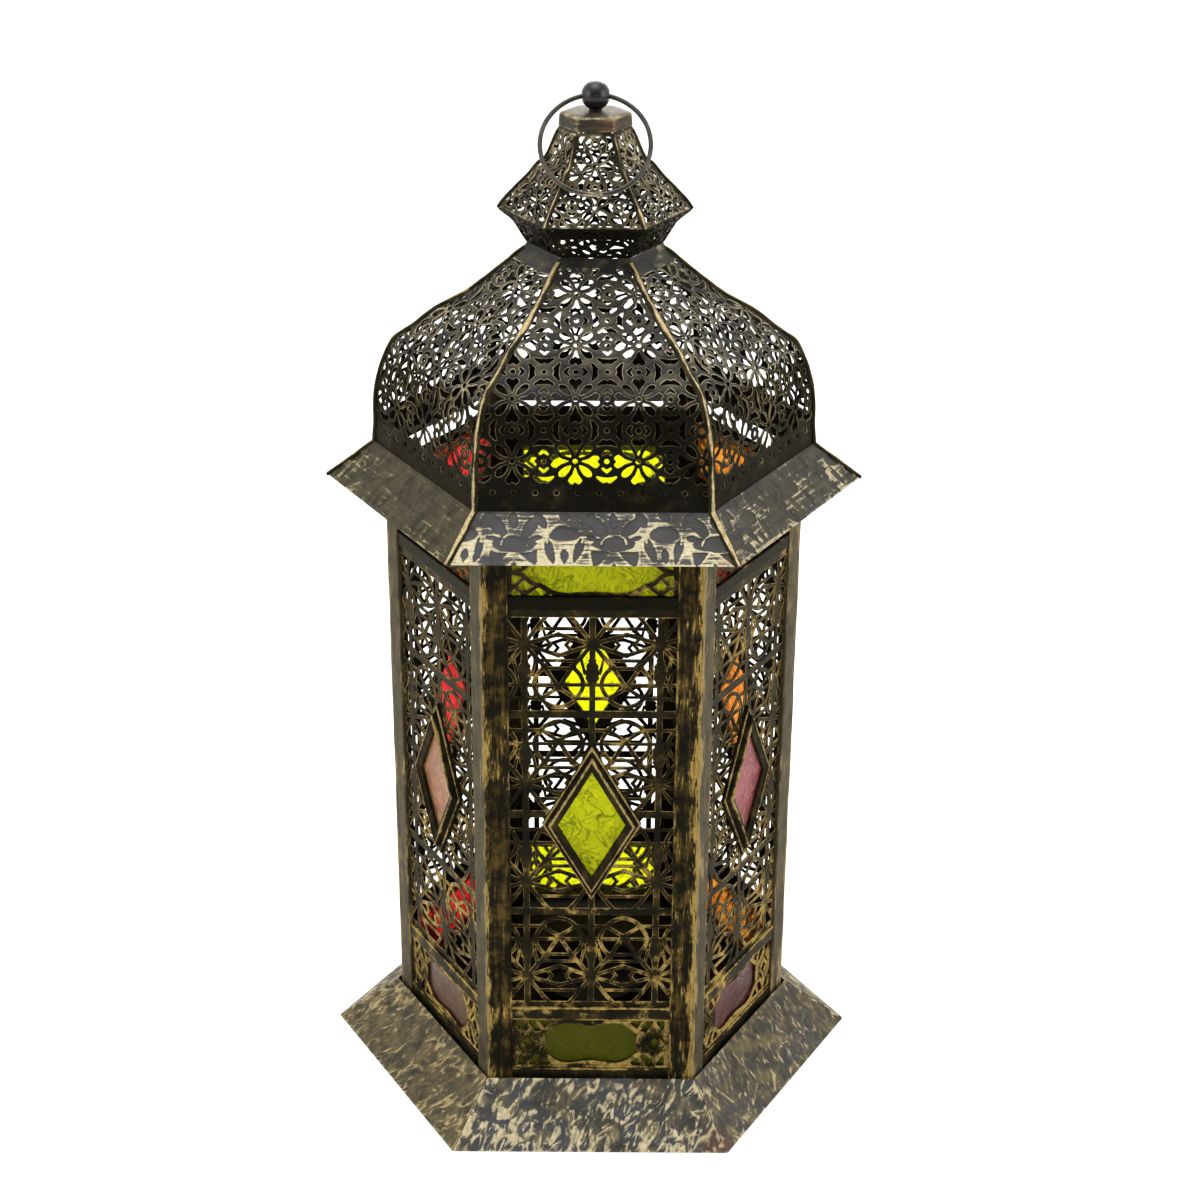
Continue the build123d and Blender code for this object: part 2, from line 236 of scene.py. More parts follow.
# ------------------------------------------------------------------ materials
class Finish:
    """A node material with a few shorthands."""

    def __init__(self, name):
        self.m = bpy.data.materials.new(name)
        self.m.use_nodes = True
        self.t = self.m.node_tree
        self.t.nodes.clear()
        self.out = self.t.nodes.new("ShaderNodeOutputMaterial")
        self.b = self.t.nodes.new("ShaderNodeBsdfPrincipled")
        self.t.links.new(self.b.outputs["BSDF"], self.out.inputs["Surface"])

    def put(self, sock, value):
        if hasattr(value, "is_linked") or isinstance(value, bpy.types.NodeSocket):
            self.t.links.new(value, sock)
        else:
            sock.default_value = value

    def attr(self, name, out="Fac"):
        n = self.t.nodes.new("ShaderNodeAttribute")
        n.attribute_type = "GEOMETRY"
        n.attribute_name = name
        return n.outputs[out]

    def object_mm(self):
        c = self.t.nodes.new("ShaderNodeTexCoord")
        return self.scaled(c.outputs["Object"], (1000, 1000, 1000))

    def scaled(self, vec, scale, shift=(0, 0, 0), turn=(0, 0, 0)):
        n = self.t.nodes.new("ShaderNodeMapping")
        self.put(n.inputs["Vector"], vec)
        n.inputs["Scale"].default_value = scale
        n.inputs["Location"].default_value = shift
        n.inputs["Rotation"].default_value = turn
        return n.outputs["Vector"]

    def noise(self, vec, scale=1.0, detail=3.0, rough=0.55, distort=0.0):
        n = self.t.nodes.new("ShaderNodeTexNoise")
        self.put(n.inputs["Vector"], vec)
        n.inputs["Scale"].default_value = scale
        n.inputs["Detail"].default_value = detail
        n.inputs["Roughness"].default_value = rough
        n.inputs["Distortion"].default_value = distort
        return n.outputs["Fac"]

    def voronoi(self, vec, scale=1.0, feature="DISTANCE_TO_EDGE"):
        n = self.t.nodes.new("ShaderNodeTexVoronoi")
        n.feature = feature
        self.put(n.inputs["Vector"], vec)
        n.inputs["Scale"].default_value = scale
        return n.outputs["Distance"]

    def math(self, op, a, b=0.0, clamp=False):
        n = self.t.nodes.new("ShaderNodeMath")
        n.operation = op
        n.use_clamp = clamp
        self.put(n.inputs[0], a)
        self.put(n.inputs[1], b)
        return n.outputs[0]

    def step(self, value, lo, hi, to_lo=0.0, to_hi=1.0):
        n = self.t.nodes.new("ShaderNodeMapRange")
        n.interpolation_type = "SMOOTHSTEP"
        self.put(n.inputs["Value"], value)
        n.inputs["From Min"].default_value = lo
        n.inputs["From Max"].default_value = hi
        n.inputs["To Min"].default_value = to_lo
        n.inputs["To Max"].default_value = to_hi
        return n.outputs["Result"]

    def mix(self, fac, a, b):
        n = self.t.nodes.new("ShaderNodeMix")
        n.data_type = "RGBA"
        self.put(n.inputs[0], fac)
        for sock, v in ((n.inputs[6], a), (n.inputs[7], b)):
            self.put(sock, (*v, 1.0) if isinstance(v, tuple) and len(v) == 3 else v)
        return n.outputs[2]

    def bump(self, height, strength, distance_mm, base=None):
        n = self.t.nodes.new("ShaderNodeBump")
        n.inputs["Strength"].default_value = strength
        n.inputs["Distance"].default_value = distance_mm * MM
        self.put(n.inputs["Height"], height)
        if base is not None:
            self.put(n.inputs["Normal"], base)
        return n.outputs["Normal"]

    def set(self, **values):
        for k, v in values.items():
            self.put(self.b.inputs[k.replace("_", " ")], (*v, 1.0) if isinstance(v, tuple) and len(v) == 3 else v)
        return self


def antique(name, dark, dark2, film, gold, gold2, streak, wear_gain=1.0, streak_gain=0.8, blotch_gain=0.5, bias=-0.35,
            soft=0.14, cad=False, metallic=0.2, rough=(0.42, 0.62), bump=0.25, cover=0.94, film_at=(0.45, 0.75), shine=0.11, slant=0.0, tone_and_side_light_darks=None,
            tone_and_side_light_gold=None, swirl=0.0, scratches=0.35, grain=0.4, octaves=5.0, harsh=0.66, tint=(1.0, 0.86, 0.60, 1.0)):
    """Blackened metal with gold rubbed over it: a thin brown film in patches, then strokes along one direction and worn edges."""
    f = Finish(name)
    vec = f.object_mm() if cad else f.attr("flat", "Vector")
    if slant:
        vec = f.scaled(vec, (1.0, 1.0, 1.0), (0, 0, 0), (0, 0, slant))
    stroke = f.noise(f.scaled(vec, streak), 1.0, octaves, harsh, swirl)
    scratch = f.noise(f.scaled(vec, tuple(3.7 * q if i < 2 else q + 4.0 for i, q in enumerate(streak)), (7.7, 3.1, 0.0)), 1.0, 4.0, 0.6)
    blotch = f.noise(vec, 0.045, 3.0, 0.55)
    patch = f.noise(f.scaled(vec, (0.12, 0.12, 1.0), (31.0, 17.0, 0.0)), 1.0, 4.0, 0.6)
    fine = f.noise(vec, 0.9, 5.0, 0.65)
    centred = lambda v, k: f.math("MULTIPLY", f.math("SUBTRACT", v, 0.5), k * 2)
    g = f.math("ADD", centred(stroke, streak_gain), centred(blotch, blotch_gain))
    g = f.math("ADD", g, centred(scratch, scratches * streak_gain))
    g = f.math("ADD", g, centred(fine, 0.16))
    if not cad:
        g = f.math("ADD", g, f.math("MULTIPLY", f.attr("wear_and_pane_shade"), wear_gain))
    mask = f.math("MULTIPLY", f.step(f.math("ADD", g, bias), 0.0, soft * 2), cover)
    thin = f.math("ADD", f.math("MULTIPLY", patch, 1.0 - grain), f.math("MULTIPLY", stroke, grain))
    darks = f.mix(f.step(blotch, 0.35, 0.68), dark, dark2)
    darks = f.mix(f.step(thin, *film_at), darks, film)
    # where the tone_and_side_light attribute is set the darks and gold shift: painted side light on the posts' sideways
    # legs, a per-plate shift on the eave and base plates
    if tone_and_side_light_darks:
        darks = f.mix(f.attr("tone_and_side_light"), darks, f.mix(f.step(thin, 0.35, 0.65), *tone_and_side_light_darks))
    golds = f.mix(f.step(f.math("ADD", f.math("MULTIPLY", fine, 0.5), f.math("MULTIPLY", scratch, 0.5)), 0.36, 0.64), gold, gold2)
    if tone_and_side_light_gold:
        golds = f.mix(f.math("MULTIPLY", f.attr("tone_and_side_light"), 0.85), golds, tone_and_side_light_gold)
    colour = f.mix(mask, darks, golds)
    if not cad:
        colour = f.mix(f.math("MULTIPLY", f.attr("copper"), f.step(fine, 0.35, 0.65)), colour, (0.15, 0.05, 0.032))
    f.set(Base_Color=colour, Metallic=metallic, Roughness=f.step(f.math("ADD", fine, f.math("MULTIPLY", mask, 0.15)), 0.3, 0.8, *rough))
    f.b.inputs["Specular IOR Level"].default_value = shine
    f.b.inputs["Specular Tint"].default_value = tint
    height = f.math("ADD", f.math("MULTIPLY", fine, 0.5), f.math("MULTIPLY", mask, 0.5))
    f.set(Normal=f.bump(height, bump, 0.25))
    return f.m


def glass(name, body, deep, pale, shaded_hazy_colour, ior, tint):
    """Crinkled pressed glass: uneven colour, curved creases and a soft surface; turned towards a darker, greyer colour
    by the per-vertex value, which is painted shade and painted haze.
    """
    f = Finish(name)
    vec = f.attr("flat", "Vector")
    warp = f.noise(vec, 0.12, 3.0, 0.55, 1.0)
    lines = None
    height = f.math("MULTIPLY", warp, 0.6)
    for scale, levels, width, weight, shift in ((0.085, 6.0, 0.15, 0.85, (3.0, 7.0, 0.0)), (0.16, 4.0, 0.14, 0.55, (11.0, 5.0, 0.0))):
        n = f.noise(f.scaled(vec, (1.0, 0.8, 1.0), shift), scale, 2.0, 0.45, 1.4)
        level = f.math("PINGPONG", f.math("MULTIPLY", n, levels), 0.5)
        gate = f.step(f.noise(f.scaled(vec, (0.11, 0.11, 1.0), shift), 1.0, 2.0, 0.5), 0.38, 0.56)
        crease = f.math("MULTIPLY", f.step(level, 0.0, width, weight, 0.0), gate)
        lines = crease if lines is None else f.math("MAXIMUM", lines, crease)
        height = f.math("ADD", height, f.math("MULTIPLY", level, 0.5))
    colour = f.mix(f.step(warp, 0.3, 0.7), body, pale)
    colour = f.mix(lines, colour, deep)
    # panes turn towards the darker, greyer colour by the per-vertex value: painted shade and painted haze
    colour = f.mix(f.attr("wear_and_pane_shade"), colour, shaded_hazy_colour)
    f.set(Base_Color=colour, Metallic=0.0, Roughness=0.30)
    f.b.inputs["IOR"].default_value = ior
    f.b.inputs["Specular Tint"].default_value = (*tint, 1.0)
    f.b.inputs["Transmission Weight"].default_value = 0.92
    f.set(Normal=f.bump(f.math("SUBTRACT", height, f.math("MULTIPLY", lines, 0.3)), 0.45, 0.8))
    return f.m


SLATE, SLATE2 = (0.013, 0.013, 0.011), (0.024, 0.023, 0.018)
BLACK, BLACK2 = (0.0060, 0.0054, 0.0028), (0.012, 0.0105, 0.0055)
BROWN_FILM = (0.058, 0.040, 0.013)
GOLD, GOLD2 = (0.20, 0.126, 0.030), (0.42, 0.295, 0.088)
STRAW, STRAW2 = (0.23, 0.19, 0.10), (0.46, 0.40, 0.25)
CREAM, CREAM2 = (0.42, 0.36, 0.20), (0.70, 0.62, 0.40)
NAVY, NAVY2 = (0.038, 0.038, 0.039), (0.054, 0.057, 0.070)
KHAKI = (0.150, 0.124, 0.066)
OLIVE, OLIVE2 = (0.020, 0.0185, 0.0115), (0.056, 0.048, 0.026)

lattice_metal = antique("lattice_metal", BLACK, BLACK2, BROWN_FILM, GOLD, GOLD2, (0.09, 0.09, 1.0), wear_gain=0.64, streak_gain=0.7, blotch_gain=0.6, bias=-0.29, soft=0.17, shine=0.06)
# a darker, less gilded copy of the lattice finish: painted shade for the rail under the eave
rail_eave_shade_metal = antique("rail_eave_shade_metal", (0.0045, 0.0040, 0.0024), BLACK, (0.026, 0.019, 0.008), GOLD, GOLD2, (0.06, 0.3, 1.0), wear_gain=0.64, streak_gain=0.7, blotch_gain=0.6, bias=-0.36, soft=0.17,
                     film_at=(0.55, 0.80), shine=0.05)
dome_metal = antique("dome_metal", (0.0085, 0.0085, 0.0082), (0.017, 0.0175, 0.019), (0.070, 0.059, 0.034), STRAW, STRAW2, (0.07, 0.10, 1.0), wear_gain=0.85, streak_gain=0.65,
                     blotch_gain=0.65, bias=-0.40, soft=0.2, film_at=(0.44, 0.67), shine=0.15, rough=(0.36, 0.52), tint=(1.0, 0.95, 0.84, 1.0))
hood_metal = antique("hood_metal", (0.0065, 0.0062, 0.0050), (0.014, 0.0138, 0.0125), (0.088, 0.068, 0.034), STRAW, STRAW2, (0.10, 0.10, 1.0), wear_gain=0.85, streak_gain=0.75,
                     blotch_gain=0.8, bias=-0.38, soft=0.2, film_at=(0.43, 0.64), shine=0.13, rough=(0.36, 0.52), tint=(1.0, 0.95, 0.84, 1.0))
# a darker, duller copy of the dome finish: painted shade on the dome's lower band and under the crown
dome_painted_shade_metal = antique("dome_painted_shade_metal", (0.0055, 0.0050, 0.0030), (0.0085, 0.0078, 0.0052), (0.040, 0.031, 0.014), (0.17, 0.13, 0.058), STRAW, (0.07, 0.10, 1.0), wear_gain=0.8, streak_gain=0.65,
                         blotch_gain=0.65, bias=-0.44, soft=0.2, film_at=(0.50, 0.74), shine=0.03)
eave_metal = antique("eave_metal", NAVY, NAVY2, (0.085, 0.078, 0.056), (0.36, 0.31, 0.19), CREAM2, (0.040, 0.62, 1.0), wear_gain=1.0, streak_gain=0.95, blotch_gain=0.5, bias=-0.50,
                     soft=0.16, film_at=(0.5, 0.72), shine=0.2, tone_and_side_light_darks=(OLIVE, OLIVE2), tone_and_side_light_gold=(0.24, 0.195, 0.105))
base_metal = antique("base_metal", (0.038, 0.038, 0.034), NAVY2, KHAKI, (0.37, 0.30, 0.165), (0.58, 0.51, 0.33), (0.175, 0.080, 1.0), wear_gain=0.8, streak_gain=1.5, blotch_gain=0.55, bias=-0.11,
                     soft=0.24, film_at=(0.45, 0.64), shine=0.2, slant=0.42, tone_and_side_light_darks=((0.030, 0.028, 0.018), (0.125, 0.096, 0.045)), tone_and_side_light_gold=(0.30, 0.215, 0.088), swirl=2.4, scratches=0.22, octaves=2.6, harsh=0.5)
# its second darks and ochre gold are the lighter khaki of the sideways legs: painted side light
post_metal = antique("post_metal", (0.0050, 0.0046, 0.0026), (0.0095, 0.0085, 0.0048), (0.075, 0.048, 0.012), (0.19, 0.118, 0.028), (0.38, 0.262, 0.076), (0.36, 0.042, 1.0), wear_gain=0.60,
                     streak_gain=1.0, blotch_gain=0.9, bias=-0.36, soft=0.19, film_at=(0.45, 0.62), scratches=0.8, grain=0.55, shine=0.05, tone_and_side_light_darks=((0.030, 0.027, 0.017), (0.080, 0.066, 0.036)), tone_and_side_light_gold=(0.24, 0.175, 0.080))
seam_metal = antique("seam_metal", BLACK, BLACK2, (0.070, 0.052, 0.022), (0.27, 0.19, 0.078), (0.62, 0.50, 0.27), (0.5, 0.06, 1.0), wear_gain=1.0, streak_gain=0.85, blotch_gain=0.9, bias=-0.46, soft=0.24)
frame_metal = antique("frame_metal", BLACK, BLACK2, BROWN_FILM, (0.21, 0.14, 0.042), (0.42, 0.31, 0.125), (0.10, 0.20, 1.0), wear_gain=0.85, streak_gain=0.7, blotch_gain=0.6, bias=-0.42, soft=0.2, shine=0.06)
ring_metal = antique("ring_metal", (0.0085, 0.0085, 0.0075), (0.020, 0.020, 0.0175), (0.085, 0.066, 0.034), GOLD, STRAW2, (0.05, 0.6, 1.0), wear_gain=0.7, streak_gain=0.8, blotch_gain=0.9, bias=-0.42,
                     film_at=(0.44, 0.70), shine=0.42, rough=(0.26, 0.40), tint=(1.0, 0.98, 0.92, 1.0))
cap_metal = antique("cap_metal", SLATE, SLATE2, (0.075, 0.055, 0.026), GOLD, STRAW2, (0.08, 0.5, 1.0), wear_gain=0.8, streak_gain=0.7, blotch_gain=0.6, bias=-0.48, soft=0.25, film_at=(0.44, 0.68), shine=0.32)
inside_metal = antique("inside_metal", (0.005, 0.0044, 0.003), (0.009, 0.0075, 0.0045), (0.018, 0.013, 0.006), (0.05, 0.035, 0.012), GOLD, (0.08, 0.08, 1.0),
                       wear_gain=0.3, streak_gain=0.5, bias=-0.70, metallic=0.0, rough=(0.6, 0.85), shine=0.05)
ball_metal = antique("ball_metal", (0.0062, 0.0062, 0.0056), (0.0095, 0.0095, 0.0090), (0.022, 0.021, 0.016), GOLD, GOLD2, (0.25, 0.25, 0.4), streak_gain=0.6, blotch_gain=0.3, bias=-0.66, cad=True, shine=0.40, rough=(0.26, 0.40), tint=(1.0, 1.0, 1.0, 1.0))
fitting_metal = antique("fitting_metal", (0.004, 0.0036, 0.0022), BLACK, (0.012, 0.009, 0.004), GOLD, GOLD2, (0.3, 0.3, 0.3), streak_gain=0.6, blotch_gain=0.4, bias=-0.74, cad=True, shine=0.06, rough=(0.55, 0.8))
GLASS = {
    "glass_lime": glass("glass_lime", (0.76, 0.83, 0.002), (0.20, 0.23, 0.001), (0.88, 0.92, 0.006), (0.105, 0.110, 0.008), 1.36, (1.0, 1.0, 0.15)),
    "glass_red": glass("glass_red", (0.70, 0.008, 0.010), (0.30, 0.002, 0.004), (0.84, 0.030, 0.035), (0.20, 0.080, 0.080), 1.44, (1.0, 0.90, 0.90)),
    "glass_amber": glass("glass_amber", (0.84, 0.22, 0.008), (0.42, 0.08, 0.003), (0.94, 0.36, 0.035), (0.24, 0.16, 0.10), 1.44, (1.0, 0.92, 0.80)),
}
GLASS_OF = {"front": "glass_lime", "back": "glass_lime", "front_right": "glass_red", "back_left": "glass_red",
            "front_left": "glass_amber", "back_right": "glass_amber"}
METAL = "antiqued_black_metal"

# ------------------------------------------------------------------ body panels: openwork lattice
PANEL_A = 76.1
BAY = 27.75
RIM = 0.27
LOZ_Z = 148.5
RAILS = [57.6, 105.0, 152.5, 199.5, 245.5]
DOOR_RAILS = [57.6, 101.3, 145.1, 188.4, 230.9]
DOOR_LOZ_Z = 140.5


def lattice_bars(rails):
    """Bars (line, half width) and solid bosses of the four tiers of pattern between the rails."""
    bars, bosses = [], []
    h = BAY / 2
    arch = spline([(8.1, 24.9), (4.7, 29.4), (3.9, 34.6), (7.1, 40.4), (10.4, 42.9), (13.875, 43.9), (17.35, 42.9), (20.65, 40.4), (23.85, 34.6), (23.05, 29.4), (19.65, 24.9)], 4)
    both = lambda *pts: [list(pts), [(BAY - x, z) for x, z in pts]]
    bay = [(arch, 0.62), ([(0, 33.4), (BAY, 33.4)], 0.5), ([(6.0, 22.1), (BAY - 6.0, 22.1)], 0.5), ([(8.4, 25.6), (BAY - 8.4, 25.6)], 0.52),
           ([(0, 14.4), (h, 19.8), (BAY, 14.4)], 0.6), ([(0, 14.4), (h, 10.0), (BAY, 14.4)], 0.6), ([(4.9, 7.4), (BAY - 4.9, 7.4)], 0.5)]
    for line, hw in (([(0, 14.4), (8.1, 24.9), (h, 34.7)], 0.62), ([(h, 34.7), (6.9, 39.6)], 0.56), ([(0, 39.8), (6.9, 39.8)], 0.52),
                     ([(8.6, 17.7), (10.8, 14.8), (8.6, 11.7)], 0.52), ([(0, 14.4), (6.8, 4.4), (10.5, 0)], 0.6), ([(0, 14.4), (4.6, 21.2), (3.0, 28.5)], 0.46)):
        bay += [(l, hw) for l in both(*line)]
    for t, (z0, z1) in enumerate(zip(rails[:-1], rails[1:])):
        s = (z1 - z0) / 47.2
        up = (lambda z: z0 + z * s) if t < 3 else (lambda z: z1 - z * s)
        for k in (-2, -1, 0, 1):
            for line, hw in bay:
                bars.append(([(x + k * BAY, up(z)) for x, z in line], hw * 1.4))
        for k in (-1, 0, 1):
            bosses.append([(k * BAY + x, up(z)) for x, z in disc(0, 14.4, 3.0, 8, math.pi / 8)])
            edge = [(0.0, 20.0), (1.7, 21.8), (1.5, 23.0), (2.6, 24.6), (2.3, 25.8), (3.1, 27.6), (2.6, 29.0), (2.9, 30.4), (1.9, 31.8), (1.9, 33.0), (0.0, 35.0)]
            lens = edge + [(-x, z) for x, z in edge[-2:0:-1]]
            bosses.append([(k * BAY + x, up(z)) for x, z in lens])
        for k in (-2, -1, 0, 1):
            for x, z, r in ((8.1, 24.9, 1.6), (BAY - 8.1, 24.9, 1.6), (h, 34.5, 1.7), (6.9, 39.7, 1.35), (BAY - 6.9, 39.7, 1.35), (h, 19.6, 1.25), (h, 10.2, 1.25)):
                bosses.append([(k * BAY + px, up(pz)) for px, pz in disc(x, z, r, 8)])
    for k in (-1, 0, 1):
        bars.append(([(k * BAY, rails[0] - 2), (k * BAY, rails[-1] + 2)], 1.3))
    for z in rails:
        bars.append(([(-40, z), (40, z)], 1.65))
    return bars, bosses


def window_bars(z0, z1, wide=False):
    """The cartouche of a window: its bracketed outline and a pierced knot at each end."""
    zc, s = (z0 + z1) / 2, (z1 - z0) / (23.5 if wide else 22.0)
    if wide:
        half = [(-34.0, 0.0), (-29.6, -0.8), (-27.4, -2.2), (-24.6, -4.9), (-21.4, -6.0), (-18.6, -7.9), (-15.6, -9.6), (-10.5, -10.5), (-5.0, -10.1), (0, -9.9)]
    else:
        half = [(-24.6, -4.4), (-22.2, -4.9), (-19.8, -6.1), (-17.2, -8.4), (-14.2, -10.1), (-10.2, -10.7), (-6.0, -10.2), (0, -9.5)]
    low = spline(half + [(-x, z) for x, z in half[-2::-1]], 4)
    bars = [(low, 0.85), (low * arr((1, -1)), 0.85)]
    bosses = []
    for side in (-1, 1):
        m = arr((side, 1))
        if wide:
            for up in (-1, 1):
                w = arr((side, up))
                bars += [(arr([(34.2, 4.6), (24.0, 13.0)]) * w, 0.7), (arr([(21.6, 5.6), (31.2, 13.0)]) * w, 0.7), (arr([(27.2, 2.0), (34.2, 9.4)]) * w, 0.7),
                         (arr([(17.2, 8.4), (20.5, 13.0)]) * w, 0.75), (arr([(27.6, 9.6), (27.6, 13.0)]) * w, 0.7)]
                bosses += [disc(27.6, 9.6, 1.7, 8) * w, disc(30.6, 7.0, 1.2, 8) * w]
            continue
        x = 28.2
        bars += [(spline([(22.2, -4.9), (21.3, -3.2), (20.9, 0), (21.3, 3.2), (22.2, 4.9)], 3) * m, 0.8)]
        for hx, hz, hw in ((3.4, 4.0, 0.7), (6.3, 9.4, 0.75)):
            for q in ([(x - hx, 0), (x, hz)], [(x, hz), (x + hx, 0)], [(x + hx, 0), (x, -hz)], [(x, -hz), (x - hx, 0)]):
                bars.append((arr(q) * m, hw))
        bars += [(arr([(x, 3.6), (x, 13)]) * m, 0.7), (arr([(x, -3.6), (x, -13)]) * m, 0.7),
                 (arr([(x + 3, 0), (x + 9, 0)]) * m, 0.7), (arr([(21.0, 0), (x - 3, 0)]) * m, 0.7),
                 (arr([(15.5, 9.3), (19.5, 13)]) * m, 0.8), (arr([(15.5, -9.3), (19.5, -13)]) * m, 0.8),
                 (arr([(20.6, 5.6), (24.5, 13)]) * m, 0.7), (arr([(20.6, -5.6), (24.5, -13)]) * m, 0.7),
                 (arr([(31.5, 4.6), (36, 12)]) * m, 0.65), (arr([(31.5, -4.6), (36, -12)]) * m, 0.65)]
        bosses += [disc(x, 6.8, 1.7, 8) * m, disc(x, -6.8, 1.7, 8) * m]
    place = lambda p: [(px, zc + pz * s) for px, pz in p]
    return [(place(l), hw * 1.15) for l, hw in bars], [place(b) for b in bosses]


def openwork(outline, openings, bars, bosses, cuts):
    """Triangles of a pierced panel: which are metal, and which vertices lie on a worn lower edge."""
    polys = [outline]
    n_open = len(openings)
    polys += openings + [grow(o, RIM) for o in openings]
    first_outer = len(polys)
    polys += [band(l, hw) for l, hw in bars] + [ccw(b) for b in bosses]
    first_inner = len(polys)
    polys += [band(l, max(hw - RIM, 0.12)) for l, hw in bars] + [grow(b, -RIM) for b in bosses]
    first_cut = len(polys)
    polys += cuts
    xy, tri, held = triangulate(polys)
    keep, top = np.zeros(len(tri), bool), np.zeros(len(tri), bool)
    for i, h in enumerate(held):
        if 0 not in h or any(k >= first_cut for k in h):
            continue
        in_open = any(1 <= k <= n_open for k in h)
        in_grown = any(n_open < k < first_outer for k in h)
        in_outer = any(first_outer <= k < first_inner for k in h)
        in_inner = any(first_inner <= k < first_cut for k in h)
        keep[i] = not in_open or in_outer
        top[i] = keep[i] and (not in_grown or in_inner)
    high = np.zeros(len(xy), bool)
    high[tri[top].ravel()] = True
    return xy, tri, keep, ~high


def on_face(a):
    """Puts sheet points on the front face, at distance a from the axis."""
    def place(xy, out):
        p = np.c_[xy[:, 0], np.full(len(xy), -a), xy[:, 1]]
        d = out + 0.06 + wobble(p, 17.0, 0.06)
        return np.c_[xy[:, 0], -(a + d), xy[:, 1]]
    return place


def soft_box(x0, x1, z0, z1, a0, a1, r, build, seed, turn=0.0, wear_edge=1.0, wear_flat=0.0, finish=0):
    """A straight bar on the front face with rounded front edges, slightly uneven."""
    n = max(4, int((x1 - x0) / 2.5)) if x1 - x0 >= z1 - z0 else max(4, int((z1 - z0) / 2.5))
    across = x1 - x0 >= z1 - z0
    lo, hi = (z0, z1) if across else (x0, x1)
    sec = [(lo, a0, 0.2), (lo, a1 - r, 0.6), (lo + r * 0.3, a1 - r * 0.3, 1.0), (lo + r, a1, 0.8), (lo + 2.2 * r, a1 + 0.0, 0.1),
           (hi - 2.2 * r, a1 + 0.0, 0.1), (hi - r, a1, 0.8), (hi - r * 0.3, a1 - r * 0.3, 1.0), (hi, a1 - r, 0.6), (hi, a0, 0.2)]
    frames, wear_and_pane_shade, flat = [], [], []
    ends = np.linspace(x0, x1, n) if across else np.linspace(z0, z1, n)
    for e in ends:
        pts = [((e, -a, s) if across else (s, -a, e)) for s, a, _ in sec]
        frames.append(arr(pts))
        wear_and_pane_shade += [w * wear_edge + wear_flat for _, _, w in sec]
        flat += [((e, s, seed) if across else (s, e, seed)) for s, a, _ in sec]
    if not across:
        frames = frames[::-1]
        wear_and_pane_shade = list(arr(wear_and_pane_shade).reshape(n, -1)[::-1].ravel())
        flat = arr(flat).reshape(n, -1, 3)[::-1].reshape(-1, 3)
    frames = [f + np.c_[np.zeros(len(f)), -np.abs(wobble(f, 9.0, 0.15)), wobble(f + 50, 9.0, 0.1)] for f in frames]
    swept(len(sec), frames, wear_and_pane_shade, flat, build, finish, turn)


def lozenge(w, h, z=LOZ_Z):
    return arr([(0, z - h), (w, z), (0, z + h), (-w, z)])


lat_bars, lat_bosses = lattice_bars(RAILS)
door_bars, door_bosses = lattice_bars(DOOR_RAILS)
low_bars, low_bosses = window_bars(25.6, 49.2)
up_bars, up_bosses = window_bars(252.0, 274.2, True)
head_bars, head_bosses = window_bars(237.4, 259.6, True)
loz_cut = lozenge(16.4, 29.1)
PANEL_HALF = 42.3
whole = openwork(rect(-PANEL_HALF, PANEL_HALF, 17.4, 281.0), [rect(-34.6, 34.6, 57.6, 245.5), rect(-32.4, 32.4, 25.6, 49.2), rect(-32.4, 32.4, 252.0, 274.2)],
                 lat_bars + low_bars + up_bars, lat_bosses + low_bosses + up_bosses, [loz_cut])


def rubbed(xy):
    """More gold low on a panel, where hands reach, and along the window's frame."""
    upright = np.abs((xy[:, 0] + BAY / 2) % BAY - BAY / 2)
    return (0.30 + 0.24 * np.exp(-((xy[:, 1] - 74.0) / 42.0) ** 2) + np.where(xy[:, 1] < 50, 0.22 + 0.20 * (xy[:, 1] < 33) + 0.1 * np.sign(xy[:, 0]), 0.0) + 0.06 * xy[:, 0] / 34.0
            - np.where((upright < 2.4) & (xy[:, 1] > 57), 0.30, 0.0))


for k, (name, turn) in enumerate(FACES.items()):
    if name == "back":
        continue
    b = Build()
    closed_sheet(*whole, on_face(PANEL_A), SHEET, 0.2, 11.0 * k, b, turn, wear_low=1.0, wear_top=rubbed)
    soft_box(-34.4, 34.4, 50.2, 56.6, PANEL_A - 0.2, PANEL_A + 1.2, 0.5, b, 11.0 * k + 3, turn, 0.7, 0.28)
    # the rail under the eave: darker finish and less gold, painted shade of the eave
    soft_box(-34.4, 34.4, 247.0, 253.2, PANEL_A - 0.2, PANEL_A + 1.25, 0.45, b, 11.0 * k + 5, turn, 0.45, -0.12, 2)
    soft_box(-34.4, 34.4, 243.5, 247.3, PANEL_A - 0.2, PANEL_A + 0.5, 0.25, b, 11.0 * k + 9, turn, 0.7, 0.12)
    soft_box(-34.4, 34.4, 17.6, 24.6, PANEL_A - 0.2, PANEL_A + 0.9, 0.45, b, 11.0 * k + 7, turn, 0.7)
    b.piece("panel_" + name, "lantern", ["side_panel_" + name], METAL, [lattice_metal, inside_metal, rail_eave_shade_metal])

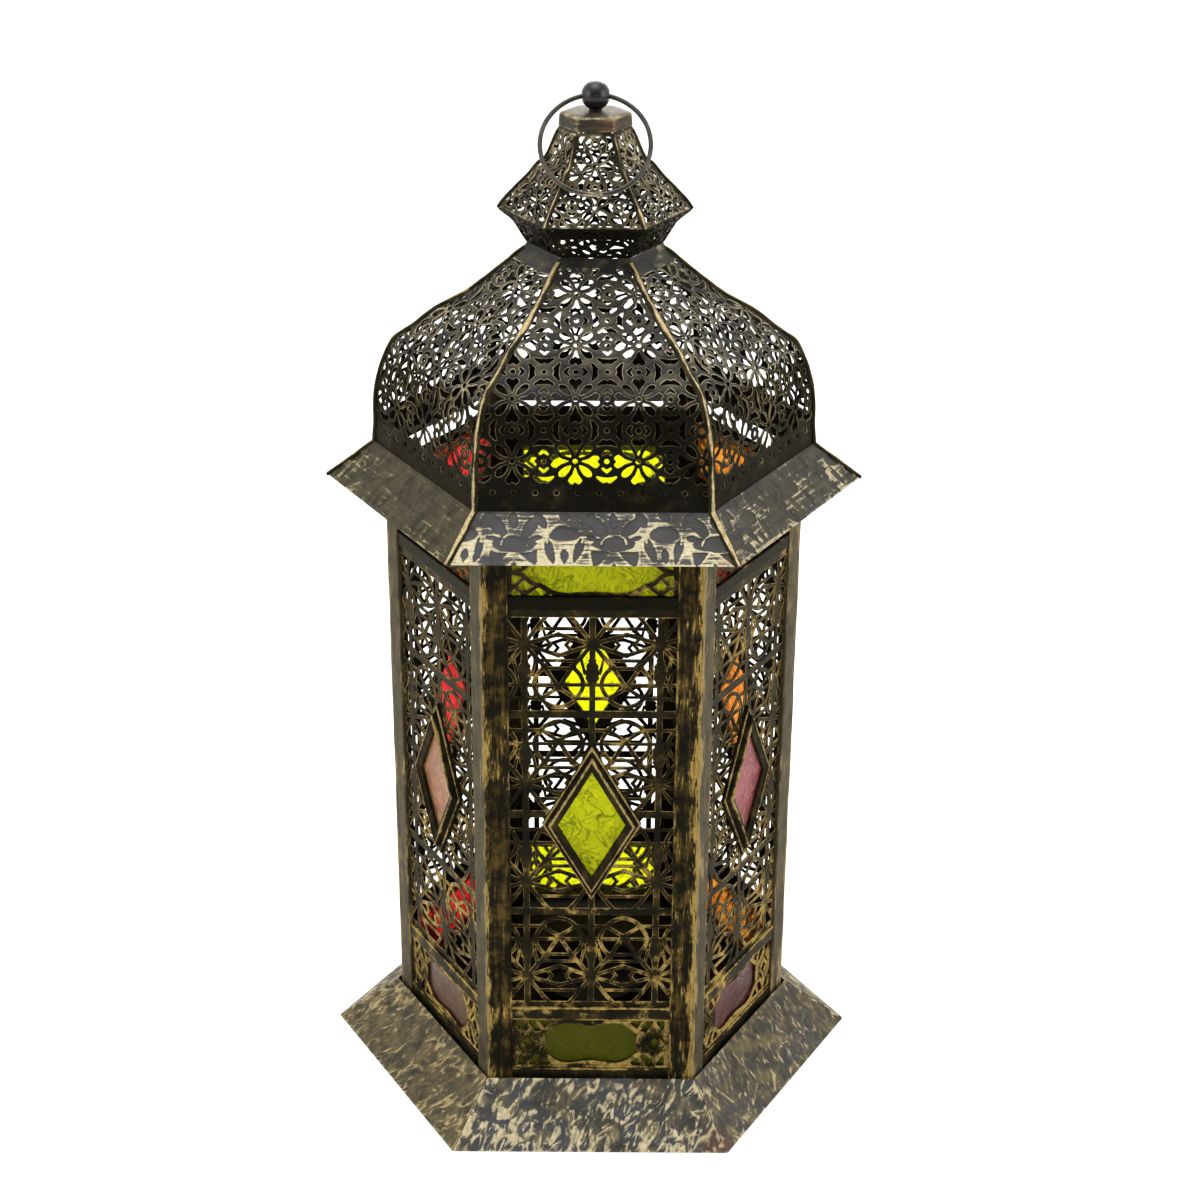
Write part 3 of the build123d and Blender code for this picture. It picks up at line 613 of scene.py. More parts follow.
DOOR_HALF = 33.7
door = openwork(rect(-DOOR_HALF, DOOR_HALF, 22.0, 235.4), [rect(-31.6, 31.6, 57.6, 230.9), rect(-31.2, 31.2, 25.6, 49.2)],
                door_bars + low_bars, door_bosses + low_bosses, [lozenge(16.4, 29.1, DOOR_LOZ_Z)])
b = Build()
closed_sheet(*door, on_face(PANEL_A), SHEET, 0.2, 77.0, b, 180, wear_low=1.0, wear_top=0.28)
soft_box(-31.0, 31.0, 50.2, 56.6, PANEL_A - 0.2, PANEL_A + 1.3, 0.5, b, 80.0, 180)
soft_box(-31.0, 31.0, 231.4, 235.2, PANEL_A - 0.2, PANEL_A + 1.2, 0.45, b, 82.0, 180)
for side, x0, x1 in ((-1, -34.1, -33.0), (1, 33.2, 34.3)):
    soft_box(x0, x1, 22.1, 235.3, PANEL_A - 0.6, PANEL_A + 1.7, 0.3, b, 84.0 + side, 180)
b.piece("door_lattice", "door", ["door_panel"], METAL, [lattice_metal, inside_metal])

header = openwork(rect(-PANEL_HALF, PANEL_HALF, 236.0, 281.0), [rect(-32.4, 32.4, 237.4, 259.6)], head_bars, head_bosses, [])
b = Build()
closed_sheet(*header, on_face(PANEL_A), SHEET, 0.2, 91.0, b, 180, wear_low=1.0, wear_top=0.28)
soft_box(-33.0, 33.0, 233.8, 237.4, 72.3, 73.3, 0.2, b, 93.0, 180, 0.0)
soft_box(-34.4, 34.4, 261.6, 267.4, PANEL_A - 0.2, PANEL_A + 1.1, 0.45, b, 95.0, 180, 0.6)
b.piece("door_head", "lantern", ["door_header"], METAL, [lattice_metal, inside_metal])

# ------------------------------------------------------------------ lozenge frames
LOZ_W, LOZ_H = 20.95, 37.1
LOZ_IN = LOZ_W * LOZ_H / math.hypot(LOZ_W, LOZ_H)
# distance in from the outer edge, height over the panel, wear: a low bead, a high one, then a cove down to the glass
LOZ_SECTION = [(0.0, 0.03, 0.0), (0.03, 0.9, 0.2), (0.22, 1.5, 0.85), (0.6, 1.78, 1.0), (1.0, 1.6, 0.7), (1.3, 1.3, 0.05), (1.65, 1.5, 0.0), (1.95, 2.5, 0.1),
               (2.3, 3.5, 0.7), (2.7, 4.05, 1.0), (3.1, 4.2, 0.95), (3.4, 3.95, 0.3), (3.65, 3.6, 0.0), (4.6, 3.2, 0.0), (5.6, 2.85, 0.08), (5.75, 2.65, 0.0),
               (5.8, 1.2, 0.0), (5.25, 1.1, 0.0), (4.4, 0.2, 0.0), (3.0, 0.03, 0.0)]
for k, (name, turn) in enumerate(FACES.items()):
    loops, wear_and_pane_shade, flat = [], [], []
    per = 14
    b = Build()
    rows = []
    for d, h, w in LOZ_SECTION:
        s = 1.0 - d / LOZ_IN
        corner = lozenge(LOZ_W * s, LOZ_H * s, DOOR_LOZ_Z if name == "back" else LOZ_Z)
        line = []
        for c in range(4):
            p, q = corner[c], corner[(c + 1) % 4]
            for t in range(per):
                line.append(p + (q - p) * t / per)
        line = arr(line)
        rows.append(np.c_[line[:, 0], np.full(len(line), -(PANEL_A + h)), line[:, 1]])
        wear_and_pane_shade.append(np.full(len(line), w))
        flat.append(np.c_[np.arange(len(line)) * 3.0, np.full(len(line), d), np.full(len(line), 7.0 * k)])
    m, n = len(rows), len(rows[0])
    verts = np.vstack(rows)
    verts[:, 1] -= np.where(verts[:, 1] < -(PANEL_A + 1.5), np.abs(wobble(verts, 7.0, 0.10)), 0.0)
    faces = []
    for i in range(m):
        for j in range(n):
            a0, a1 = i * n + j, i * n + (j + 1) % n
            b0, b1 = ((i + 1) % m) * n + j, ((i + 1) % m) * n + (j + 1) % n
            faces.append((a0, a1, b1, b0))
    b.add(verts, faces, np.concatenate(wear_and_pane_shade), np.vstack(flat), 0, turn)
    b.piece("lozenge_" + name, "door" if name == "back" else "lantern", ["diamond_frame_" + name], METAL, [frame_metal], 40.0)


# ------------------------------------------------------------------ window glass
def pane(build, grid, seed, turn, shape, painted_shade_and_haze=0.0, level=-1.0):
    """A crinkled pane over a unit grid, front and back; shape maps the grid to x and z."""
    n, m = grid
    u, v = np.meshgrid(np.linspace(0, 1, n), np.linspace(0, 1, m), indexing="ij")
    xz = shape(u.ravel(), v.ravel())
    a0, a1 = PANEL_A + level - 1.5, PANEL_A + level
    p = np.c_[xz[:, 0], np.zeros(len(xz)), xz[:, 1]] + arr((0, seed * 3.7, 0))
    crinkle = wobble(p, 4.2, 0.32) + wobble(p + 31, 1.9, 0.16)
    edge = np.minimum(np.minimum(u, 1 - u), np.minimum(v, 1 - v)).ravel()
    fade = np.clip(edge * 12, 0, 1)
    front = np.c_[xz[:, 0], -(a1 - 0.33 + 0.6 * crinkle * fade), xz[:, 1]]
    back = np.c_[xz[:, 0], -(a0 + 0.33 + 0.6 * wobble(p + 77, 5.0, 0.3) * fade), xz[:, 1]]
    k = n * m
    idx = lambda i, j: i * m + j
    faces = []
    for i in range(n - 1):
        for j in range(m - 1):
            q = (idx(i, j), idx(i + 1, j), idx(i + 1, j + 1), idx(i, j + 1))
            faces.append(q)
            faces.append(tuple(x + k for x in q[::-1]))
    rim = [idx(i, 0) for i in range(n)] + [idx(n - 1, j) for j in range(1, m)] + [idx(i, m - 1) for i in range(n - 2, -1, -1)] + [idx(0, j) for j in range(m - 2, 0, -1)]
    for a, c in zip(rim, rim[1:] + rim[:1]):
        faces.append((c, a, a + k, c + k))
    flat = np.c_[np.vstack([xz, xz]), np.full(2 * k, seed * 9.0)]
    build.add(np.vstack([front, back]), faces, painted_shade_and_haze, flat, 0, turn)


for k, (name, turn) in enumerate(FACES.items()):
    mat = GLASS_OF[name]
    moving = "door" if name == "back" else "lantern"
    b = Build()
    mid, low = (DOOR_LOZ_Z, 236.35) if name == "back" else (LOZ_Z, 250.95)
    # the number after the shape is painted shade and haze: a little on every pane, dark on the front panes where the
    # unlit inside lies behind them, hazy on the two side lozenges as painted reflection
    pane(b, (30, 30), k + 1.0, turn, lambda u, v: np.c_[(u - v) * 14.86, mid + (u + v - 1) * 26.35], 0.32 if name in ("front_left", "front_right") else 0.08, 2.0)
    b.piece("lozenge_pane_" + name, moving, ["diamond_glass_" + name], mat, [GLASS[mat]], 80.0)
    b = Build()
    pane(b, (68, 20), k + 11.0, turn, lambda u, v: np.c_[(u * 2 - 1) * 33.0, low + v * 26.0], 0.40 if name == "front" else 0.1)
    b.piece("upper_pane_" + name, "lantern", ["upper_glass_" + name], mat, [GLASS[mat]], 80.0)
    b = Build()
    pane(b, (68, 28), k + 21.0, turn, lambda u, v: np.c_[(u * 2 - 1) * 33.0, 23.0 + v * 28.0], 0.75 if name.startswith("front") else 0.1)
    b.piece("lower_pane_" + name, moving, ["lower_glass_" + name], mat, [GLASS[mat]], 80.0)

# ------------------------------------------------------------------ corner posts
POST_R, POST_LEG, POST_RETURN = 90.0, 10.5, 1.8


def post_section():
    """Closed section at the +X corner: points x, y and wear. A folded angle with soft bends and a return at each edge."""
    n0, n1 = arr((C30, -0.5)), arr((C30, 0.5))
    t0, t1 = arr((-0.5, -C30)), arr((-0.5, C30))
    c = arr((POST_R, 0.0))
    pts = []
    leg = lambda t, s: c + t * s
    r = 0.7
    for s, w in ((POST_LEG, 0.45), (POST_LEG - 0.45, 0.5), (POST_LEG - 1.1, 0.15), (POST_LEG * 0.7, 0.0), (POST_LEG * 0.45, 0.05), (2.4, 0.42), (1.3, 0.75)):
        p = leg(t0, s)
        if s == POST_LEG:
            p = p - n0 * 0.35
        pts.append((*p, w))
    for a in (-24, -8, 8, 24):
        q = c - arr((r * 2, 0)) + arr((math.cos(math.radians(a)), math.sin(math.radians(a)))) * (r * 2 * C30)
        pts.append((*q, 1.0))
    for s, w in ((1.3, 0.75), (2.4, 0.42), (POST_LEG * 0.45, 0.05), (POST_LEG * 0.7, 0.0), (POST_LEG - 1.1, 0.15), (POST_LEG - 0.45, 0.5), (POST_LEG, 0.45)):
        p = leg(t1, s)
        if s == POST_LEG:
            p = p - n1 * 0.35
        pts.append((*p, w))
    e1, e0 = leg(t1, POST_LEG), leg(t0, POST_LEG)
    pts += [(*(e1 - n1 * POST_RETURN), 0.2), (*(e1 - n1 * POST_RETURN - t1 * SHEET), 0.0), (*(e1 - n1 * SHEET - t1 * SHEET), 0.0),
            (*(c - arr((SHEET / C30, 0))), 0.0),
            (*(e0 - n0 * SHEET - t0 * SHEET), 0.0), (*(e0 - n0 * POST_RETURN - t0 * SHEET), 0.0), (*(e0 - n0 * POST_RETURN), 0.2)]
    return arr(pts)


sec = post_section()
run = np.cumsum(np.r_[0, np.linalg.norm(np.diff(sec[:, :2], axis=0), axis=1)])
for k, (name, turn) in enumerate(POSTS.items()):
    b = Build()
    # legs facing sideways get the lighter khaki darks and ochre gold of the post finish, legs facing front or back keep
    # the black: painted side light
    side_lit_legs = [0.0 if round(turn + q) % 180 == 90 else 1.0 for q in (-30, 30)]
    frames, flat, wear_and_pane_shade = [], [], []
    for z in np.linspace(17.35, 290.5, 150):
        f = np.c_[sec[:, 0], sec[:, 1], np.full(len(sec), z)]
        outward = unit(f[:, :2])
        sway = wobble(f + arr((0, 0, 400.0 * k)), 21.0, 0.22) - 0.12
        f[:, :2] += outward * np.minimum(sway, 0.0)[:, None]
        frames.append(f)
        flat.append(np.c_[run, np.full(len(sec), z), np.full(len(sec), 13.0 * k)])
        ends = 0.4 * math.exp(-abs(z - 17.4) / 12.0) + 0.3 * math.exp(-((z - 66) / 20.0) ** 2) + 0.4 * math.exp(-abs(z - 274) / 22.0)
        wear_and_pane_shade.append(np.clip(sec[:, 2] + ends * (sec[:, 2] + 0.5) + (0.14 if name == "front_right" else (-0.12 if name == "front_left" else 0.0)), 0, 1.3))
    tone_and_side_light = np.tile(np.where(np.arange(len(sec)) < 9, side_lit_legs[0], side_lit_legs[1]), len(frames))
    swept(len(sec), frames, np.concatenate(wear_and_pane_shade), np.vstack(flat), b, 0, turn, True, None, tone_and_side_light)
    if name in ("back_left", "back_right"):
        x0, x1, w0, w1 = (33.3, 36.0, 34.58, 35.3) if name == "back_left" else (-36.0, -33.3, -35.3, -34.58)
        soft_box(w0, w1, 20.0, 235.4, 72.2, PANEL_A + 0.1, 0.1, b, 60.0, 180, 0.0)
        soft_box(x0, x1, 20.0, 235.4, 72.2, 73.2, 0.2, b, 61.0, 180, 0.0)
    b.piece("post_" + name, "lantern", ["corner_post_" + name], METAL, [post_metal], 40.0)


# ------------------------------------------------------------------ dome and crown: pierced sheets
PITCH = 24.7
P2 = PITCH / 2


def flower_cell():
    """Holes of one repeat, about the centre of its flower."""
    arm = [(2.3, 0.0), (4.2, 0.62), (5.4, 1.0), (6.6, 1.95), (7.9, 2.75), (9.0, 2.1), (9.5, 1.2), (8.4, 0.0)]
    arm = soften(arm + [(x, -y) for x, y in arm[-2:0:-1]], 1, 0.2)
    leaf = [(2.1, 0.0), (3.6, 0.85), (5.2, 1.35), (6.6, 1.5), (8.0, 1.2), (9.0, 0.0)]
    leaf = soften(leaf + [(x, -y) for x, y in leaf[-2:0:-1]], 1, 0.25)
    holes = [disc(0, 0, 1.0, 8)]
    for q in range(4):
        holes.append(move(arm, quarter=q))
        a = math.radians(45 + 90 * q)
        holes.append(np.c_[leaf[:, 0] * math.cos(a) - leaf[:, 1] * math.sin(a), leaf[:, 0] * math.sin(a) + leaf[:, 1] * math.cos(a)])
    chev = soften([(0, 4.95), (-1.1, 4.0), (-2.1, 2.9), (-1.5, 2.4), (0, 3.45), (1.5, 2.4), (2.1, 2.9), (1.1, 4.0)], 1, 0.2)
    smile = soften([(-4.0, -5.95), (-2.2, -6.45), (0, -6.7), (2.2, -6.45), (4.0, -5.95), (3.9, -6.8), (2.6, -8.0), (1.4, -8.95), (0, -8.3), (-1.4, -8.95), (-2.6, -8.0), (-3.9, -6.8)], 1, 0.2)
    for q, (cx, cy) in ((0, (P2, 0.0)), (1, (0.0, P2))):
        holes.append(disc(cx, cy, 1.0, 8))
        for turn in (0, 2):
            holes += [move(chev, cx, cy, 1.0, q + turn), move(smile, cx, cy, 1.0, q + turn)]
    holes.append(disc(P2, P2, 0.85, 8))
    return holes


CELL = flower_cell()


class Gore:
    """One sheet of a six-sided dome from its corner profile; s runs up the middle of the sheet."""

    def __init__(self, profile, per=2, gap=0.16, margin=1.5):
        line = spline(arr(profile) * arr((C30, 1.0)), per)
        self.a, self.z = line[:, 0], line[:, 1]
        self.s = np.r_[0, np.cumsum(np.hypot(np.diff(self.a), np.diff(self.z)))]
        da, dz = np.gradient(self.a, self.s), np.gradient(self.z, self.s)
        l = np.hypot(da, dz)
        self.na, self.nz = dz / l, -da / l
        self.half = self.a * T30 - gap
        self.margin = margin

    def outline(self, less=0.0, lo=None, hi=None):
        lo, hi = self.s[0] if lo is None else lo, self.s[-1] if hi is None else hi
        s = np.r_[lo, self.s[(self.s > lo + 0.05) & (self.s < hi - 0.05)], hi]
        h = np.maximum(np.interp(s, self.s, self.half) - less, 0.4)
        return np.vstack([np.c_[h, s], np.c_[-h, s][::-1]])

    def lines(self):
        return [[(-h, s), (h, s)] for h, s in zip(self.half[1:-1], self.s[1:-1])]

    def place(self, seed=0.0):
        def put(xy, out):
            s = np.clip(xy[:, 1], self.s[0], self.s[-1])
            a, z = np.interp(s, self.s, self.a), np.interp(s, self.s, self.z)
            na, nz = np.interp(s, self.s, self.na), np.interp(s, self.s, self.nz)
            p = np.c_[xy[:, 0], -a, z + seed]
            d = out + wobble(p, 15.0, 0.14) - 0.07
            return np.c_[xy[:, 0], -(a + na * d), z + nz * d]
        return put

    def arc(self, z):
        return float(np.interp(z, self.z, self.s))


def pierced(gore, rows, columns, scale, lo, hi, extra, seed, build, turn, rim=0.36, wear_top=0.08, clip=(False, False), wider=0.0, wear_low=1.0, shade_below=None):
    """A sheet cut through with flowers whose holes lie between lo and hi up the sheet, plus extra holes."""
    holes = []
    for cy in rows:
        for cx in columns:
            for h in CELL:
                p = move(h, cx, cy, scale)
                if wider:
                    p = grow(p, wider)
                c = p.mean(0)
                reach = float(np.interp(c[1], gore.s, gore.half))
                first = p[:, 1].max() if clip[0] else p[:, 1].min()
                last = p[:, 1].min() if clip[1] else p[:, 1].max()
                if abs(c[0]) < reach + 2 and last < hi and first > lo:
                    holes.append(p)
    holes += extra
    inside = gore.outline(gore.margin, lo if clip[0] else None, hi if clip[1] else None)
    keep_holes = []
    for p in holes:
        reach = np.interp(p[:, 1], gore.s, gore.half) - gore.margin
        if np.any(np.abs(p[:, 0]) < reach):
            keep_holes.append(p)
    polys = [gore.outline(), inside] + keep_holes + [grow(h, rim) for h in keep_holes]
    xy, tri, held = triangulate(polys, gore.lines())
    n = len(keep_holes)
    keep, gone = np.zeros(len(tri), bool), np.zeros(len(tri), bool)
    for i, h in enumerate(held):
        if 0 not in h:
            continue
        gone[i] = 1 in h and any(2 <= k < 2 + n for k in h)
        keep[i] = not gone[i]
    low = np.zeros(len(xy), bool)
    low[tri[gone].ravel()] = True
    closed_sheet(xy, tri, keep, low, gore.place(), SHEET, 0.24, seed, build, turn, wear_low, wear_top, shade_below)


dome = Gore(DOME)
row0 = dome.arc(312.2)
dome_rows = [row0 + PITCH * k for k in range(-1, 6)]
low_row = [disc(-6.0 + 8.4 * k, dome.arc(299.2), 1.05, 10) for k in range(-6, 7)]
PHASE = {"front": -7.1, "front_right": 4.5, "back_right": -2.0, "back": 9.0, "back_left": -10.5, "front_left": -0.5}
for k, (name, turn) in enumerate(FACES.items()):
    b = Build()
    cols = [PHASE[name] + PITCH * i for i in range(-4, 5)]
    shift = [d + arr((PHASE[name] + 7.1, 0)) for d in low_row]
    # below z 332 the painted-shade copy of the finish; the gores other than the front carry more gold film, painted
    # light that lightens the side gores
    pierced(dome, dome_rows, cols, 1.0, dome.arc(301.2), dome.arc(374.8 if name == "front" else 372.0), shift, 17.0 * k, b, turn, clip=(False, True),
            wider=0.10 if name == "front" else 0.30, wear_top=0.08 if name == "front" else 0.24, shade_below=dome.arc(332.0))
    lo, hi = dome.arc(294.0), dome.arc(301.3)
    xs = np.linspace(-46.0, 46.0, 24)
    put = dome.place()
    strip = [put(np.c_[xs, np.full(24, q)], np.full(24, -d)) for q, d in ((lo, 0.75), (hi, 0.75), (hi, 1.15), (lo, 1.15))]
    swept(4, [arr([row[i] for row in strip]) for i in range(24)], 0.0, np.c_[np.repeat(xs, 4), np.tile([lo, hi, hi, lo], 24), np.full(96, 50.0 + k)], b, 1, turn)
    b.piece("dome_" + name, "lantern", ["dome_panel_" + name], METAL, [dome_metal, inside_metal, dome_painted_shade_metal])

hood, under = Gore(CROWN_HOOD, 2, 0.14, 1.1), Gore(CROWN_LOW, 2, 0.14, 0.9)
b_hood, b_under = Build(), Build()
for k, (name, turn) in enumerate(FACES.items()):
    sc = 0.74
    off = [0.0, 3.0, -4.0, 6.0, -2.0, 5.0][k]
    cols = [off + PITCH * sc * i for i in range(-3, 4)]
    pierced(hood, [hood.s[-1] * 0.22 + PITCH * sc * i for i in range(-1, 3)], cols, sc, 0.8, hood.s[-1] - 1.4, [], 19.0 * k, b_hood, turn, 0.32, lambda xy: 0.16 + 0.40 * np.exp(-(xy[:, 1] / 2.2) ** 2), (True, True), 0.24)
    pierced(under, [under.s[-1] * 0.5 + PITCH * sc * (i - 0.5) for i in range(0, 2)], cols, sc, 0.8, under.s[-1] - 0.8, [], 23.0 * k, b_under, turn, 0.28, 0.0, (True, True), 0.12, 0.25)
b_hood.piece("crown_hood_sheets", "lantern", ["crown_hood"], METAL, [hood_metal, inside_metal])
# the crown's underside takes the painted-shade copy of the dome finish
b_under.piece("crown_underside_sheets", "lantern", ["crown_underside"], METAL, [dome_painted_shade_metal, inside_metal])


# ------------------------------------------------------------------ seams
def seam(build, line, width, height, turn, seed, rub):
    """A soldered bead over the +X corner along a line of radius and height; rub gives the wear of its crest along it."""
    p = arr(line)
    d = unit(np.gradient(p, axis=0))
    nrm = np.c_[d[:, 1], -d[:, 0]]
    arc = np.r_[0, np.cumsum(np.linalg.norm(np.diff(p, axis=0), axis=1))]
    sec = [(-0.5, -0.85), (-0.5, 0.0), (-0.44, 0.45), (-0.25, 0.85), (0.0, 1.0), (0.25, 0.85), (0.44, 0.45), (0.5, 0.0), (0.5, -0.85)]
    frames, wear_and_pane_shade, flat = [], [], []
    for q, n, s in zip(p, nrm, arc):
        uneven = (0.82 + 0.18 * noise.noise(Vector((s / 5.0, seed * 3.1, 0.0)))) * min(1.0, 0.2 + (arc[-1] - s) / 5.0)
        lean = 0.10 * noise.noise(Vector((s / 9.0, seed * 5.3, 4.0)))
        pts = []
        for y, h in sec:
            out = h * height * uneven if h >= 0 else h * 0.8
            pts.append((q[0] + n[0] * out, y * width * (0.9 + 0.1 * uneven) + lean, q[1] + n[1] * out))
            wear_and_pane_shade.append(math.exp(-(y / 0.30) ** 2) * rub(q[1]) * (h >= 0))
            flat.append((y * width, s, seed))
        frames.append(arr(pts)[::-1])
    m = len(sec)
    rev = lambda x: arr(x).reshape(len(p), m, -1)[:, ::-1].reshape(len(p) * m, -1)
    swept(m, frames, rev(wear_and_pane_shade)[:, 0], rev(flat), build, 0, turn)


eave_part = [(114.45, 276.05), (109.3, 279.9), (104.2, 283.8), (99.0, 287.7), (94.2, 291.3)]
dome_part = [(93.5, 296.5)] + [q for q in DOME[1:-1]]
rib_line = np.vstack([spline(eave_part, 7), spline([(93.9, 292.2)] + dome_part, 5)])
b = Build()
for i in range(6):
    seam(b, rib_line, 3.0, 0.88, 60 * i, 3.0 + i, lambda z: 1.3 if z < 292 else 0.98)
b.piece("dome_seams", "lantern", ["dome_seam_ribs"], "rubbed_gold_seams", [seam_metal], 50.0)
b = Build()
for i in range(6):
    seam(b, spline(CROWN_HOOD[:-1], 7), 2.5, 0.48, 60 * i, 20.0 + i, lambda z: 1.0 - 0.55 * min(1.0, max(0.0, (z - 404.0) / 12.0)))
b.piece("crown_seams", "lantern", ["crown_seam_ribs"], "rubbed_gold_seams", [seam_metal], 50.0)


# ------------------------------------------------------------------ embossed eave and base plates
def leaf(x, y, x0, y0, x1, y1, hw):
    """Depth inside a pointed leaf from one tip to the other; negative outside it."""
    dx, dy = x1 - x0, y1 - y0
    length = math.hypot(dx, dy)
    u = ((x - x0) * dx + (y - y0) * dy) / length
    v = ((y - y0) * dx - (x - x0) * dy) / length
    w = np.clip(u / length, 0, 1)
    return hw * np.sin(np.pi * w ** 0.85) ** 0.8 - np.abs(v) - np.maximum(0, np.maximum(-u, u - length))


def oval(x, y, cx, cy, rx, ry):
    return (1 - np.hypot((x - cx) / rx, (y - cy) / ry)) * min(rx, ry)


def corner(x, y, *pts):
    """Depth inside a convex outline, counter-clockwise."""
    d = np.full_like(x, 1e3)
    for (ax, ay), (bx, by) in zip(pts, pts[1:] + pts[:1]):
        l = math.hypot(bx - ax, by - ay)
        d = np.minimum(d, ((bx - ax) * (y - ay) - (by - ay) * (x - ax)) / l)
    return d


def pressed(x, s, pitch, row, seed, scale=1.0):
    """Depth inside the sunk leaves of the pressed pattern, and the raised arcs: flowers with crossed leaves between them."""
    sunk = np.full_like(x, -9.0)
    arc = np.full_like(x, -9.0)
    for i in range(-3, 4):
        cx = seed + i * pitch
        fx, fy = (x - cx) / scale, (s - row) / scale
        ax = np.abs(fx)
        for d in (leaf(ax, fy, 7.2, 5.2, 11.8, 12.6, 2.0), leaf(fx, fy, 0, 8.0, 0, 14.5, 1.9), oval(ax, fy, 0, 2.4, 5.7, 3.2),
                  leaf(ax, fy, 6.9, 1.2, 4.4, -10.0, 1.8), leaf(fx, fy, 0, -3.8, 0, -10.2, 1.7), leaf(ax, fy, 8.8, 1.6, 13.4, 0.2, 1.1)):
            sunk = np.maximum(sunk, d)
        arc = np.maximum(arc, np.where(fy > -1.5, 0.5 - np.abs(np.hypot(fx, fy) - 6.9), -9.0))
        cx += pitch / 2
        fx = (x - cx) / scale
        ax = np.abs(fx)
        for d in (leaf(ax, fy, 9.4, 10.2, 2.6, 0.6, 2.5), oval(fx, fy, 0, -1.6, 8.3, 3.5), leaf(fx, fy, 0, 5.0, 0, 12.5, 1.6),
                  corner(ax, fy, (2.2, -5.6), (8.4, -12.4), (9.2, -5.0)), corner(fx, fy, (-2.8, -12.6), (2.8, -12.6), (0, -9.6)),
                  leaf(fx, fy, 0, -13.4, 0, -19.0, 2.0), leaf(ax, fy, 4.0, -13.8, 11.0, -17.5, 1.7)):
            sunk = np.maximum(sunk, d)
        arc = np.maximum(arc, np.where(fy > -2.5, 0.45 - np.abs(np.hypot(fx, fy + 2.2) - 5.0), -9.0))
    return sunk * scale, arc * scale


def plate(build, loop, slope, columns, turn, pattern, seed, gap=0.16, depth=0.45, fill=0.5, line=0.5, copper_corner=None, tone_and_side_light=0.0, less=0.0, mitre=0.3):
    """A mitred plate: its closed section (a, z), of which the points in slope carry the pressed pattern."""
    loop = arr(loop)
    m = len(loop)
    ts = np.linspace(-1, 1, columns)
    frames, wear_and_pane_shade, flat, cop = [], [], [], []
    first, last = slope
    d = unit(loop[last] - loop[first])
    n = arr((d[1], -d[0]))
    length = np.linalg.norm(loop[last] - loop[first])
    for t in ts:
        x = t * (loop[:, 0] * T30 - gap)
        sl = (loop - loop[first]) @ d
        p3 = np.c_[x, -loop[:, 0], loop[:, 1]]
        drift = np.c_[wobble(p3 + seed + 90, 8.0, 1.1), wobble(p3 + seed + 40, 8.0, 1.1)]
        sunk, arc = pattern(x + drift[:, 0], sl + drift[:, 1])
        g = np.maximum(np.clip(0.5 - sunk / 0.6, 0, 1), np.clip(0.5 + arc / 0.4, 0, 1))
        burr = np.maximum(np.exp(-((sunk + 0.55) / 0.5) ** 2), np.clip(0.5 + arc / 0.4, 0, 1))
        on = np.zeros(m)
        on[first:last + 1] = 1.0
        edge = np.clip(np.minimum(sl, length - sl) / 0.9, 0, 1) * np.clip((loop[:, 0] * T30 - gap - np.abs(x)) / 1.4, 0, 1)
        pos = loop.copy()
        sink = on * edge * ((1 - g) * depth + np.clip(wobble(p3 + seed, 6.0, 0.12), 0, 1))
        pos -= n * sink[:, None]
        frames.append(np.c_[x, -pos[:, 0], pos[:, 1]])
        low = np.clip(1.3 - sl / length * 0.8, 0.45, 1)
        patchy = 1.0 + wobble(p3 + seed + 7, 9.0, 0.9)
        rim = 0.4 * (1 - np.clip(sl / 1.0, 0, 1)) + mitre * (1 - np.clip((loop[:, 0] * T30 - np.abs(x)) / 2.0, 0, 1))
        wear_and_pane_shade.append(on * (g * fill * low * patchy + burr * line * (0.6 + 0.4 * low) * (0.5 + 0.5 * patchy) + rim * patchy - less))
        flat.append(np.c_[x, sl, np.full(m, seed)])
        if copper_corner is None:
            cop.append(np.zeros(m))
        else:
            cx, cs, cr = copper_corner
            cop.append(0.75 * np.clip(1.2 - np.hypot(x - cx, sl - cs) / cr, 0, 1) * on)
    finish = [0 if first <= j < last else 1 for j in range(m)] * (columns - 1) + [1, 1]
    swept(m, frames, np.concatenate(wear_and_pane_shade), np.vstack(flat), build, finish, turn, True, np.concatenate(cop), tone_and_side_light)


def along(p, q, n):
    return [tuple(arr(p) + (arr(q) - arr(p)) * i / n) for i in range(n)]


TONE = {"front": 0.10, "front_right": 0.55, "back_right": 0.6, "back": 0.3, "back_left": 0.7, "front_left": 1.0}
BASE_TONE = {"front": 0.0, "front_right": 0.42, "back_right": 0.5, "back": 0.3, "back_left": 0.6, "front_left": 0.9}
e0, e1 = (114.5 * C30, 276.0), (94.0 * C30, 291.5)
ed = unit(arr(e1) - arr(e0)); en = arr((ed[1], -ed[0]))
eave_slope = along(e0, e1, 44) + [e1]
eave_loop = eave_slope + [(72.1, 291.5), (72.1, 290.72)] + [tuple(arr(e1) - en * SHEET + arr((-0.3, -0.02))), tuple(arr(e0) - en * SHEET + ed * 0.35)]
b = Build()
for k, (name, turn) in enumerate(FACES.items()):
    plate(b, eave_loop, (0, 44), 230, turn, lambda x, s, k=k: pressed(x, s, 39.4, 11.3, [-11.2, 9.0, -6.0, 15.0, 4.0, -12.0][k]), 29.0 * k, fill=0.65 - 0.36 * TONE[name], line=0.28 - 0.18 * TONE[name], tone_and_side_light=TONE[name], less=-0.10 if name == "front_left" else 0.0,
          copper_corner=(54, 0.0, 5.0) if name == "front" else ((-56, 0, 5.0) if name == "front_right" else None))
b.piece("eave_sheets", "lantern", ["eave_plates"], METAL, [eave_metal, inside_metal], 45.0)

